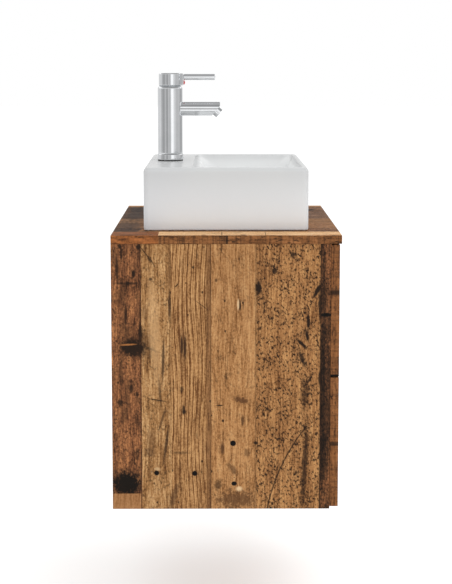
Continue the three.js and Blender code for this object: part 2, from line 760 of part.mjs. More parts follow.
const vanity = new THREE.Group();
vanity.name = "vanity";
vanity.add(
  makeTopPanel(),
  makeSidePanel("side_panel_left", -1),
  makeSidePanel("side_panel_right", 1),
  makeBottomPanel(),
  makeUpperRail(),
  makeLowerRail(),
  makeHanger("hanger_left", -1),
  makeHanger("hanger_right", 1),
  ...makeUpperDrawer(),
  ...makeLowerDrawer(),
  ...["upper", "lower"].flatMap((name) => [-1, 1].flatMap((side) => makeRunner(name, side))),
  makeBasin(),
  makeWasteFlange(),
  makeWastePlug(),
  makeWasteTail(),
  makeWasteSeal(),
  makeWasteNut(),
  makeTrapInlet(),
  makeTrapBody(),
  makeTrapCup(),
  makeTrapOutlet(),
  makeTrapRosette(),
  makeTapGasket(),
  makeTapBase(),
  makeTapBody(),
  makeTapSpout(),
  makeTapAerator(),
  makeTapCartridge(),
  makeCartridgeNut(),
  makeTapCap(),
  makeLeverCarrier(),
  makeLeverRod(),
  makeTapIndex(),
  makeTapStud(),
  makeTapWasher(),
  makeTapNut(),
  makeTapInlet("tap_inlet_left", -1),
  makeTapInlet("tap_inlet_right", 1),
);

export default vanity;
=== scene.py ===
import math

import bmesh
import bpy
from mathutils import Matrix, Vector


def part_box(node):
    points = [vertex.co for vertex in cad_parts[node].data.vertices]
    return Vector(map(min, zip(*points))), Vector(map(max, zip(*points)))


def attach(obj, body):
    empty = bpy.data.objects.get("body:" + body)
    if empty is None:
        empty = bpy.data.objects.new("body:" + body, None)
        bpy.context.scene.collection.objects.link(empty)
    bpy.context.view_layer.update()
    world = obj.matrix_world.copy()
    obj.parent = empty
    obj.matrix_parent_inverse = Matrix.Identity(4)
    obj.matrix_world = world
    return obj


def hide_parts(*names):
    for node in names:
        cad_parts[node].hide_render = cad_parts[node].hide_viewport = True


# Plank-look wall-hung vanity with a white vessel basin and a chrome single-lever tap.
# Metres, the same frame as the CAD. The left side panel faces -X and the drawer fronts face -Y.
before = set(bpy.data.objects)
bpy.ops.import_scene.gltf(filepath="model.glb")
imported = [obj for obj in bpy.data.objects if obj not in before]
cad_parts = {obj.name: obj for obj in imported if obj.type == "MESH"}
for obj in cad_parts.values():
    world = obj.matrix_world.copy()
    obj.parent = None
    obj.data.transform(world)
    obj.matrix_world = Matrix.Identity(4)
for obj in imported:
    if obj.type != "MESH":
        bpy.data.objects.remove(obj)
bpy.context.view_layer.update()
mm = 0.001
print("frame loaded,", len(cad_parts), "nodes")


# low and high corners of a CAD node
def span(node):
    low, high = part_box(node)
    return low, high


basinLow, basinHigh = span("basin")
rimZ = basinHigh.z
tapLow, tapHigh = span("tap_body")
tapY = (tapLow.y + tapHigh.y) / 2
wasteLow, wasteHigh = span("waste_flange")
wasteY = (wasteLow.y + wasteHigh.y) / 2

# camera, floor and light

camera = {
    "place": (-2.7126, 0.0155, 0.803),
    "turn": -0.348,      # degrees to the right of +X
    "tilt": 6.531,       # degrees down
    "lens": 86.18,
    "shift": -0.12,
}


def addObject(name, data, place=(0, 0, 0)):
    made = bpy.data.objects.new(name, data)
    bpy.context.scene.collection.objects.link(made)
    made.location = place
    return made


def makeCamera():
    data = bpy.data.cameras.new("camera")
    data.lens = camera["lens"]
    data.sensor_width = 36
    data.shift_y = camera["shift"]
    data.clip_end = 60
    eye = addObject("camera", data, camera["place"])
    turn, tilt = math.radians(camera["turn"]), math.radians(camera["tilt"])
    aim = Vector((math.cos(tilt) * math.cos(turn), math.cos(tilt) * math.sin(turn), -math.sin(tilt)))
    eye.rotation_mode = "QUATERNION"
    eye.rotation_quaternion = aim.to_track_quat("-Z", "Y")
    bpy.context.scene.camera = eye


makeCamera()

studio = {
    "floorDrop": 0.24,       # the cabinet hangs this far above the floor
    "world": 1.0,
    "floorSize": 60,
    "floorTone": 0.96,
    "floorGlow": 0.2,
    "lamps": [               # place, size, power
        ((-1.2, -1.6, 3.2), 2.6, 30),
        ((-3.4, -0.5, 0.25), 1.8, 9),
    ],
    "lampAim": (0, 0, 0.5),
    "domeRadius": 5.0,
    "domeStrength": 1.35,
    # brightness round the room, seen only in polish: turn from the left panel's side in degrees, tone
    "soft": [(-180, 0.58), (-118, 0.62), (-100, 0.64), (-84, 0.44), (-66, 0.33), (-55, 0.36), (-44, 0.5),
             (-34, 0.35), (-24, 0.33), (-13, 0.55), (-5, 0.42), (4, 0.52), (11, 0.98), (27, 1.0), (36, 0.7),
             (48, 0.6), (62, 0.48), (80, 0.48), (92, 0.52), (106, 0.4), (126, 0.34), (150, 0.55),
             (180, 0.58)],
    # brightness above it: height of the eye line in degrees, tone
    "ceiling": [(12, 0.5), (21, 1.0), (29, 0.98), (38, 0.36), (52, 0.3), (62, 0.26), (78, 0.42),
                (90, 0.44)],
    "domeHeight": 0.65,
    "ceilingFade": (0.1, 0.2),   # height of the eye line, in quarter turns, where the ceiling takes over
}


def flatCard(name, centre, width):
    half = width / 2
    mesh = bpy.data.meshes.new(name)
    corners = [(-half, -half, 0), (half, -half, 0), (half, half, 0), (-half, half, 0)]
    mesh.from_pydata(corners, [], [(0, 1, 2, 3)])
    card = addObject(name, mesh, centre)
    return card


def makeStudio():
    bpy.context.scene.view_settings.view_transform = "Standard"
    world = bpy.data.worlds.new("studio")
    bpy.context.scene.world = world
    world.use_nodes = True
    back = world.node_tree.nodes["Background"]
    back.inputs["Color"].default_value = (1, 1, 1, 1)
    back.inputs["Strength"].default_value = studio["world"]

    floor = flatCard("floor", (0, 0, -studio["floorDrop"]), studio["floorSize"])
    pale = bpy.data.materials.new("paleFloor")
    pale.use_nodes = True
    shade = pale.node_tree.nodes["Principled BSDF"]
    shade.inputs["Base Color"].default_value = (studio["floorTone"],) * 3 + (1,)
    shade.inputs["Roughness"].default_value = 1.0
    shade.inputs["Specular IOR Level"].default_value = 0.0
    shade.inputs["Emission Color"].default_value = (1, 1, 1, 1)
    shade.inputs["Emission Strength"].default_value = studio["floorGlow"]
    floor.data.materials.append(pale)

    for number, (place, size, power) in enumerate(studio["lamps"]):
        lamp = bpy.data.lights.new("lamp%d" % number, "AREA")
        lamp.shape = "SQUARE"
        lamp.size = size
        lamp.energy = power
        holder = addObject("lamp%d" % number, lamp, place)
        holder.rotation_mode = "QUATERNION"
        holder.rotation_quaternion = (Vector(studio["lampAim"]) - holder.location).to_track_quat("-Z", "Y")
        holder.visible_glossy = False


makeStudio()

# shader helpers


def linear(hexColour):
    parts = [int(hexColour[i:i + 2], 16) / 255 for i in (0, 2, 4)]
    return tuple(((c + 0.055) / 1.055) ** 2.4 if c > 0.04045 else c / 12.92 for c in parts) + (1.0,)


def setInput(tree, socket, value):
    if isinstance(value, bpy.types.NodeSocket):
        tree.links.new(value, socket)
    else:
        socket.default_value = value


def addNode(tree, kind, inputs=(), **settings):
    made = tree.nodes.new(kind)
    for name, value in settings.items():
        setattr(made, name, value)
    for key, value in dict(inputs).items():
        setInput(tree, made.inputs[key], value)
    return made


def calc(tree, operation, first, second=0.0, third=0.0, clamp=False):
    made = addNode(tree, "ShaderNodeMath", {0: first, 1: second, 2: third}, operation=operation)
    made.use_clamp = clamp
    return made.outputs[0]


def vector(tree, x, y, z):
    return addNode(tree, "ShaderNodeCombineXYZ", {0: x, 1: y, 2: z}).outputs[0]


def noise(tree, place, detail=3.0, rough=0.55):
    return addNode(tree, "ShaderNodeTexNoise", {
        "Vector": place, "Scale": 1.0, "Detail": detail, "Roughness": rough}).outputs["Fac"]


def ramp(tree, factor, stops, mode="LINEAR"):
    made = addNode(tree, "ShaderNodeValToRGB", {"Fac": factor})
    line = made.color_ramp
    line.interpolation = mode
    while len(line.elements) < len(stops):
        line.elements.new(0.5)
    for element, (place, colour) in zip(line.elements, stops):
        element.position = place
    for element, (place, colour) in zip(line.elements, stops):
        element.color = colour if isinstance(colour, tuple) else (colour, colour, colour, 1)
    return made.outputs["Color"]


def mixColour(tree, factor, first, second, blend="MIX"):
    made = addNode(tree, "ShaderNodeMix", data_type="RGBA", blend_type=blend)
    made.clamp_result = True
    setInput(tree, made.inputs["Factor"], factor)
    setInput(tree, made.inputs["A"], first)
    setInput(tree, made.inputs["B"], second)
    return made.outputs["Result"]


def remap(tree, value, low, high, newLow=0.0, newHigh=1.0):
    made = addNode(tree, "ShaderNodeMapRange", {
        "Value": value, "From Min": low, "From Max": high, "To Min": newLow, "To Max": newHigh})
    return made.outputs[0]


def startMaterial(name):
    material = bpy.data.materials.new(name)
    material.use_nodes = True
    tree = material.node_tree
    place = addNode(tree, "ShaderNodeTexCoord").outputs["Object"]
    return material, tree, tree.nodes["Principled BSDF"], place


def scaled(tree, place, factors):
    return addNode(tree, "ShaderNodeVectorMath", {0: place, 1: factors}, operation="MULTIPLY").outputs[0]


def addBump(tree, shader, height, strength, distance):
    bump = addNode(tree, "ShaderNodeBump", {
        "Height": height, "Strength": strength, "Distance": distance})
    tree.links.new(bump.outputs[0], shader.inputs["Normal"])


# base colour that drifts between two tones
def twoTone(tree, shader, cloud, tints, high=0.7):
    colour = mixColour(tree, remap(tree, cloud, 0.3, high), *map(linear, tints))
    tree.links.new(colour, shader.inputs["Base Color"])


# soft light and dark areas round the room that only glossy surfaces see
def makeReflectionDome():
    shape = bmesh.new()
    bmesh.ops.create_uvsphere(shape, u_segments=96, v_segments=48, radius=studio["domeRadius"])
    mesh = bpy.data.meshes.new("dome")
    shape.to_mesh(mesh)
    shape.free()
    dome = addObject("dome", mesh, (0, 0, studio["domeHeight"]))
    for kind in ("camera", "diffuse", "shadow", "transmission", "volume_scatter"):
        setattr(dome, "visible_" + kind, False)
    material = bpy.data.materials.new("softRoom")
    material.use_nodes = True
    tree = material.node_tree
    tree.nodes.remove(tree.nodes["Principled BSDF"])
    here = addNode(tree, "ShaderNodeTexCoord").outputs["Object"]
    place = addNode(tree, "ShaderNodeSeparateXYZ", {0: here}).outputs
    minusX, minusY = calc(tree, "MULTIPLY", place[0], -1.0), calc(tree, "MULTIPLY", place[1], -1.0)
    turn = calc(tree, "MULTIPLY_ADD", calc(tree, "ARCTAN2", minusY, minusX), 0.5 / math.pi, 0.5)
    around = ramp(tree, turn, [((angle + 180) / 360, tone) for angle, tone in studio["soft"]], "EASE")
    height = calc(tree, "ARCSINE", calc(tree, "DIVIDE", place[2], studio["domeRadius"]))
    height = calc(tree, "MULTIPLY", height, 2 / math.pi)
    above = ramp(tree, height, [(angle / 90, tone) for angle, tone in studio["ceiling"]], "EASE")
    colour = mixColour(tree, remap(tree, height, *studio["ceilingFade"]), around, above)
    glow = addNode(tree, "ShaderNodeEmission", {"Color": colour, "Strength": studio["domeStrength"]})
    tree.links.new(glow.outputs[0], tree.nodes["Material Output"].inputs["Surface"])
    mesh.materials.append(material)


makeReflectionDome()
print("camera and studio ready")

# plank print

woodStain = (0.9, 0.84, 0.76, 1)
# each layer of the grain: steps across and along a millimetre, detail, roughness
grains = {
    "wander": (0.012, 0.0045, 0, 0.5),
    "fine": (0.95, 0.06, 3, 0.6),
    "fibre": (0.36, 0.024, 4, 0.65),
    "streak": (0.085, 0.006, 3, 0.55),
    "cloud": (0.03, 0.018, 3, 0.55),
    "coarse": (0.3, 0.24, 4, 0.75),
    "ragged": (0.21, 0.15, 4, 0.7),
    "patch": (0.05, 0.035, 3, 0.6),
    "soot": (0.06, 0.02, 4, 0.7),
    "checks": (0.16, 0.006, 2, 0.5),
}
# worm holes: cells across and along a millimetre, smallest size and how much it grows, share left out
wormHoles = {"across": 0.072, "along": 0.055, "least": 0.05, "growth": 0.09, "leftOut": 0.52}
ringSteps = {"wide": 0.87, "narrow": 2.15}
relief = {"flecks": -0.5, "checks": -0.6, "seams": -0.6, "grain": 0.22, "strength": 0.55,
          "distance": 0.0009}


# board: its axes, planks and marks, in millimetres across and along the planks
def plankMaterial(name, board):
    material, tree, shader, place = startMaterial(name)

    def times(first, second):
        return calc(tree, "MULTIPLY", first, second)

    def plus(first, second, clamp=False):
        return calc(tree, "ADD", first, second, clamp=clamp)

    def timesPlus(first, second, third):
        return calc(tree, "MULTIPLY_ADD", first, second, third)

    parts = addNode(tree, "ShaderNodeSeparateXYZ", {0: scaled(tree, place, (1000, 1000, 1000))}).outputs
    axes = {"x": parts[0], "y": parts[1], "z": parts[2]}
    width = board["width"]
    across = timesPlus(axes[board["across"]], board["sign"], board["start"])
    along = axes[board["along"]]
    thick = axes[board["thick"]]
    position = calc(tree, "DIVIDE", across, width)

    def perPlank(read):
        stops = [(max(0.0, plank["from"] / width), read(plank)) for plank in board["planks"]]
        return ramp(tree, position, stops, "CONSTANT")

    seed = timesPlus(perPlank(lambda plank: plank["seed"] / 50), 400.0, board["seed"])
    deep = timesPlus(thick, 0.23, seed)

    def grain(acrossScale, alongScale, detail, rough, start=across, layer=deep):
        return noise(tree, vector(tree, times(start, acrossScale),
                                  times(along, alongScale), layer), detail, rough)

    def swing(value, amount):
        return times(calc(tree, "SUBTRACT", value, 0.5), amount)

    wander = grain(*grains["wander"], layer=seed)
    bent = plus(across, swing(wander, 24.0))
    fine, fibre, streak = (grain(*grains[key], bent) for key in ("fine", "fibre", "streak"))
    cloud = grain(*grains["cloud"], layer=seed)
    coarse = grain(*grains["coarse"])
    tone = plus(plus(swing(fine, 0.9), swing(fibre, 1.9)),
                plus(swing(streak, 1.0), swing(cloud, 0.7)))
    tone = plus(tone, plus(swing(coarse, 1.5), 0.54), clamp=True)

    # hard late wood stands out as lines on the planks that have it
    wide = calc(tree, "SINE", times(bent, ringSteps["wide"]))
    narrow = calc(tree, "SINE", times(bent, ringSteps["narrow"]))
    rings = calc(tree, "MAXIMUM", remap(tree, wide, 0.35, 1.0), remap(tree, narrow, 0.4, 1.0, 0.0, 0.6))
    ringDepth = times(perPlank(lambda plank: plank.get("rings", 0.0)), rings)
    ringDepth = times(ringDepth, remap(tree, streak, 0.35, 0.6, 0.5, 1.0))
    tone = calc(tree, "SUBTRACT", tone, ringDepth, clamp=True)

    body = mixColour(tree, remap(tree, tone, 0.0, 0.5), perPlank(lambda plank: linear(plank["dark"])),
                     perPlank(lambda plank: linear(plank["mid"])))
    body = mixColour(tree, remap(tree, tone, 0.5, 1.0), body,
                     perPlank(lambda plank: linear(plank["light"])))

    # torn flecks that lean across the grain, gathered in patches
    ragged = grain(*grains["ragged"], layer=seed)
    patch = grain(*grains["patch"], layer=seed)
    leaning = vector(tree, timesPlus(along, 0.1, times(across, 0.25)),
                     timesPlus(across, -0.08, times(along, 0.15)), seed)
    torn = plus(noise(tree, leaning, 3, 0.65), swing(patch, 0.35))
    depth = 0.0
    for key, low, high, colour in (("specks", 0.5, 0.6, "speckColour"), ("blots", 0.6, 0.64, "markColour")):
        mask = times(perPlank(lambda plank: plank.get(key, 0.0)), remap(tree, torn, low, high))
        body = mixColour(tree, mask, body, linear(board[colour]))
        depth = timesPlus(mask, relief["flecks"], depth)

    # soot and old stain gathered along the grain
    sooty = plus(grain(*grains["soot"], bent), swing(fibre, 0.4))
    soot = times(perPlank(lambda plank: plank.get("soot", 0.0)), remap(tree, sooty, 0.5, 0.62))
    body = mixColour(tree, soot, body, linear(board["markColour"]))

    # fine checks, pores and worm holes
    checks = calc(tree, "ABSOLUTE", swing(grain(*grains["checks"], bent), 1.0))
    checks = remap(tree, checks, 0.009, 0.002)
    checks = times(checks, remap(tree, patch, 0.44, 0.6, 0.0, 0.8))
    checks = times(checks, calc(tree, "SUBTRACT", 1.0, perPlank(lambda plank: plank.get("dashes", 0.0))))
    holes = addNode(tree, "ShaderNodeTexVoronoi", {
        "Vector": vector(tree, times(across, wormHoles["across"]), times(along, wormHoles["along"]), seed),
        "Scale": 1.0})
    chosen = addNode(tree, "ShaderNodeSeparateXYZ", {0: holes.outputs["Color"]}).outputs
    holeSize = timesPlus(chosen[1], wormHoles["growth"], wormHoles["least"])
    beyond = calc(tree, "SUBTRACT", holes.outputs["Distance"], holeSize)
    worm = times(remap(tree, beyond, 0.03, -0.02, 0.0, 0.85),
                 calc(tree, "GREATER_THAN", chosen[0], wormHoles["leftOut"]))
    for mask in (checks, worm):
        body = mixColour(tree, mask, body, linear(board["markColour"]))
        depth = timesPlus(mask, relief["checks"], depth)

    # short dark dashes of printed edge band
    dash = noise(tree, vector(tree, times(thick, 0.33), times(along, 0.06), seed), 3, 0.6)
    dash = times(perPlank(lambda plank: plank.get("dashes", 0.0)), remap(tree, dash, 0.6, 0.64))
    body = mixColour(tree, dash, body, linear("17120e"))

    flat = vector(tree, across, along, 0.0)
    wobble = times(calc(tree, "SUBTRACT", ragged, 0.5), 1.9)

    def markMask(mark):
        moved = addNode(tree, "ShaderNodeVectorMath", {0: flat, 1: (mark["at"][0], mark["at"][1], 0)},
                        operation="SUBTRACT").outputs[0]
        if "turn" in mark:
            moved = addNode(tree, "ShaderNodeVectorRotate", {
                "Vector": moved, "Angle": math.radians(mark["turn"])}, rotation_type="Z_AXIS").outputs[0]
        sized = scaled(tree, moved, (1 / mark["size"][0], 1 / mark["size"][1], 0))
        reach = addNode(tree, "ShaderNodeVectorMath", {0: sized}, operation="LENGTH").outputs["Value"]
        reach = timesPlus(wobble, mark.get("ragged", 0.6), reach)
        soft = mark.get("soft", 0.35)
        return remap(tree, reach, 1 + soft, 1 - soft, 0.0, mark.get("strength", 0.9))

    for mark in board["marks"]:
        mask = markMask(mark)
        if "plank" in mark:   # stays inside its own plank
            low, high = mark["plank"]
            inside = times(calc(tree, "GREATER_THAN", across, low), calc(tree, "LESS_THAN", across, high))
            mask = times(mask, inside)
        if "above" in mark:
            mask = times(mask, calc(tree, "GREATER_THAN", along, mark["above"]))
        body = mixColour(tree, mask, body, linear(mark.get("colour", board["markColour"])))
        depth = timesPlus(mask, mark.get("depth", -0.5), depth)

    for arc in board.get("arcs", []):
        moved = addNode(tree, "ShaderNodeVectorMath", {0: flat, 1: (arc["centre"][0], arc["centre"][1], 0)},
                        operation="DISTANCE").outputs["Value"]
        off = calc(tree, "ABSOLUTE", calc(tree, "SUBTRACT", moved, arc["radius"]))
        off = timesPlus(wobble, arc["ragged"], off)
        mask = remap(tree, off, arc["wide"], arc["wide"] * 0.4, 0.0, arc["strength"])
        low, high = arc["plank"]
        inside = times(calc(tree, "GREATER_THAN", across, low), calc(tree, "LESS_THAN", across, high))
        mask = times(mask, times(inside, calc(tree, "LESS_THAN", along, arc["below"])))
        body = mixColour(tree, mask, body, linear(board["markColour"]))

    # a short end piece let into the first plank
    if "insert" in board:
        piece = board["insert"]
        ending = calc(tree, "GREATER_THAN", along, piece["from"]) if "from" in piece else \
            calc(tree, "LESS_THAN", along, piece["below"])
        inside = times(calc(tree, "LESS_THAN", across, piece["to"]), ending)
        light = mixColour(tree, tone, linear(piece["dark"]), linear(piece["light"]))
        body = mixColour(tree, inside, body, light)

    # thin dark joints between planks
    stops = [(0.0, 0.0)]
    for plank in board["planks"][1:]:
        seam, half = plank["from"] / width, plank.get("seam", 0.9) / width
        stops += [(seam - half, 0.0), (seam, plank.get("seamStrength", 0.8)), (seam + half, 0.0)]
    seams = ramp(tree, position, stops)
    body = mixColour(tree, seams, body, linear(board["seamColour"]))
    depth = timesPlus(seams, relief["seams"], depth)

    body = mixColour(tree, 1.0, body, woodStain, "MULTIPLY")
    tree.links.new(body, shader.inputs["Base Color"])
    dull = remap(tree, tone, 0.0, 1.0, board["rough"] + 0.1, board["rough"] - 0.06)
    tree.links.new(dull, shader.inputs["Roughness"])
    depth = plus(depth, times(plus(fibre, streak), relief["grain"]))
    addBump(tree, shader, depth, relief["strength"], relief["distance"])
    shader.inputs["Specular IOR Level"].default_value = 0.1
    return material


# a plank: where it starts across the board, its own pattern, three tones; then how strongly it is marked
def plank(start, seed, dark, mid, light, **more):
    return {"from": start, "seed": seed, "dark": dark, "mid": mid, "light": light, **more}


# a mark: its middle and half sizes across and along the planks, its strength; then colour, raggedness, turn
def mark(across, along, wide, tall, strength=0.9, **more):
    return {"at": (across, along), "size": (wide, tall), "strength": strength, **more}


nailHole = {"ragged": 0.15, "soft": 0.15, "depth": -2.5}

sidePlanks = [
    plank(0, 3, "2c1a0f", "86583a", "c08656", specks=0.35, blots=0.6, soot=0.55),
    plank(52, 11, "5c3b20", "9f774c", "cba577", specks=0.25, blots=0.5, seam=1.0),
    plank(106, 17, "633f22", "ad8356", "cca373", rings=0.72, specks=0.1, seamStrength=0.25),
    plank(169, 22, "553722", "85603c", "a57a52", rings=0.35, seamStrength=0.5, soot=0.2),
    plank(177, 29, "714a28", "ae8154", "c99e6e", rings=0.1, specks=0.22, blots=0.2, seam=1.0),
    plank(257.6, 37, "5c3b20", "9d7147", "c19462", specks=0.85, blots=0.9, seam=1.1, seamStrength=1.0),
    plank(373, 44, "1a120d", "69462c", "ab7148", specks=0.7, blots=0.9, soot=0.75, seam=1.6,
          seamStrength=1.0),
]

sideMarks = [
    mark(217, 440, 44, 120, 0.2, ragged=1.2, soft=1.0, colour="5c3b20"),
    mark(44, 302, 34, 26, 0.6, ragged=1.3, colour="3b2415", plank=(0, 80)),
    mark(38, 297, 22, 15, 1.0, ragged=0.95, soft=0.25, plank=(0, 66)),
    mark(52, 325, 4, 13, ragged=0.9),
    mark(29, 302, 14, 1.5, 0.85, colour="a8703f", ragged=0.6, turn=-3),
    mark(73, 293, 11, 1.8, 0.8, turn=24, ragged=1.0),
    mark(40, 430, 3.6, 6, 1.0, ragged=0.4),
    mark(16, 479, 3.5, 4, 0.95),
    mark(49, 478, 4.5, 5, 0.95),
    mark(11, 439, 2.6, 22, 0.85),
    mark(19, 465, 2.4, 12, 0.8),
    mark(30, 412.5, 22, 2.2, 0.75, plank=(0, 52), ragged=1.0),
    mark(30, 412, 3.5, 4),
    mark(26, 359, 2.4, 18, 0.8, ragged=0.9),
    mark(12, 376, 7, 7, 0.5, ragged=1.2, colour="4a2a18"),
    mark(26, 47, 30, 24, 1.0, ragged=0.9, plank=(0, 52), above=28.7, colour="17110c"),
    mark(35, 221, 3.5, 8, 0.85),
    mark(45, 211, 3, 3.5, 0.85),
    mark(15, 197, 5, 5),
    mark(17, 250, 3, 30, 0.6),
    mark(45, 103, 3, 11, 0.6),
    mark(125.5, 301, 2.2, 17, 1.0, ragged=0.5, soft=0.25),
    mark(131, 297, 2.4, 20, 1.0, ragged=0.5, soft=0.25),
    mark(128, 302, 9, 30, 0.35, ragged=0.8, colour="5c3f27"),
    mark(104, 440, 2.2, 44, 0.5, colour="5f4027", ragged=0.8),
    mark(104, 371, 2.6, 26, 0.85, colour="3a2617", ragged=0.6),
    mark(92, 272, 2.4, 38, 0.85, colour="3a2617", ragged=0.5, turn=2),
    mark(86, 214, 2.2, 26, 0.7, colour="453020", ragged=0.6, turn=-4),
    mark(76, 330, 9, 90, 0.45, colour="d0ab7e", ragged=0.7, depth=0.1, turn=-3),
    mark(60, 360, 5, 16, 0.45, colour="5c3f27", ragged=1.3),
    mark(61, 467, 0.9, 14, 0.85, turn=-38, ragged=0.5),
    mark(69, 455, 2.4, 6.5, 0.8, turn=-28, ragged=0.9),
    mark(73, 452, 0.9, 8, 0.7, turn=-24, ragged=0.4),
    mark(71, 420, 3, 2.5, 0.75),
    mark(117, 409, 1.1, 5, 0.8, turn=40),
    mark(146, 441, 2, 2.4, 0.85),
    mark(153, 462, 1.4, 6, 0.6),
    mark(160, 374, 14, 0.8, 0.65, turn=37, ragged=0.2),
    mark(81, 201, 17, 1.1, 0.85, turn=10, ragged=0.3),
    mark(97, 120, 2.6, 30, 0.85, turn=8, colour="3a2617"),
    mark(90, 166, 2.0, 20, 0.7, turn=16, colour="453020"),
    mark(70, 130, 9, 18, 0.5, colour="5c3f27", ragged=1.3),
    mark(66, 105, 10, 8, 0.5, colour="4a3220", ragged=1.5),
    mark(111, 25, 5, 24, 0.65, turn=18, colour="4a3220", ragged=1.1),
    mark(79.5, 67, 4.6, 4.6, 1.0, colour="100d0b", **nailHole),
    mark(81, 74, 5, 3, 0.6, colour="d5b78f", ragged=0.9, depth=0),
    mark(148, 66, 4.6, 4.6, 1.0, colour="100d0b", **nailHole),
    mark(125, 220, 2.6, 6, 0.7),
    mark(128.5, 183, 2.4, 9),
    mark(129, 179, 4, 3.5, 0.8),
    mark(123, 104, 16, 2.5, 0.5, ragged=1.0),
    mark(193, 191, 6, 1.3, 0.95),
    mark(231, 201, 16, 4.5, 0.85, turn=14, colour="553721", ragged=1.6),
    mark(199, 163, 2.0, 2.6, 1.0, ragged=0.2),
    mark(234, 164, 2.6, 9, 0.85, colour="4c311d"),
    mark(217, 121.5, 5.2, 5.2, 1.0, ragged=0.12, soft=0.12, colour="0d0b0a", depth=-2.5),
    mark(198, 112, 3.4, 10, 0.85, colour="4c311d"),
    mark(242, 103, 5, 7, 0.6, ragged=1.3, colour="4c311d"),
    mark(216, 74, 5, 13, 0.7, turn=-35, ragged=1.4, colour="4c311d"),
    mark(190, 44, 6, 9, 0.75, ragged=1.0, colour="3d2817"),
    mark(219, 47, 4.8, 4, 1.0, colour="100d0b", **nailHole),
    mark(228, 37, 5.5, 4.5, colour="dcbf98", ragged=0.6, depth=0.3),
    mark(222, 18, 36, 15, 0.75, ragged=2.2, colour="4c311d", plank=(177, 257)),
    mark(187, 418, 2.6, 3, 0.85, colour="4c311d"),
    mark(229.5, 373, 1.6, 10, 0.95, ragged=0.4),
    mark(226, 374, 1.8, 9, 0.8, colour="dcc09a", ragged=0.4, depth=0),
    mark(235, 374, 1.0, 8, 0.6, ragged=0.6),
    mark(262, 404, 6, 13, 1.0, ragged=1.3),
    mark(291, 436, 5, 6, ragged=1.3),
    mark(323, 463, 5, 5, 0.85, ragged=1.3),
    mark(351, 343, 2.8, 17, 1.0, ragged=0.9),
    mark(349, 318, 3, 12, 1.0, turn=-14, ragged=0.9),
    mark(340, 303, 3, 13, 1.0, turn=-48, ragged=0.9),
    mark(341, 275, 4.5, 14, turn=-20, ragged=1.3),
    mark(354, 238, 2, 8, turn=30, ragged=0.8),
    mark(346, 85, 5, 72, 0.8, turn=3, ragged=1.6),
    mark(345, 212, 6, 30, 0.6, ragged=1.7),
    mark(368, 401, 4, 14, 1.0, turn=30),
    mark(372, 372, 3, 26, 0.95, ragged=0.8),
    mark(372, 240, 2.2, 14),
    mark(258, 122, 4, 3, 0.95),
    mark(383, 355.5, 14, 3.6, 1.0, plank=(373, 392), colour="110e0b"),
    mark(377, 240, 6, 240, 0.7, plank=(373, 392), ragged=1.2, colour="110e0b"),
    mark(383, 200, 14, 105, 0.6, plank=(373, 392), ragged=1.6, colour="110e0b"),
]

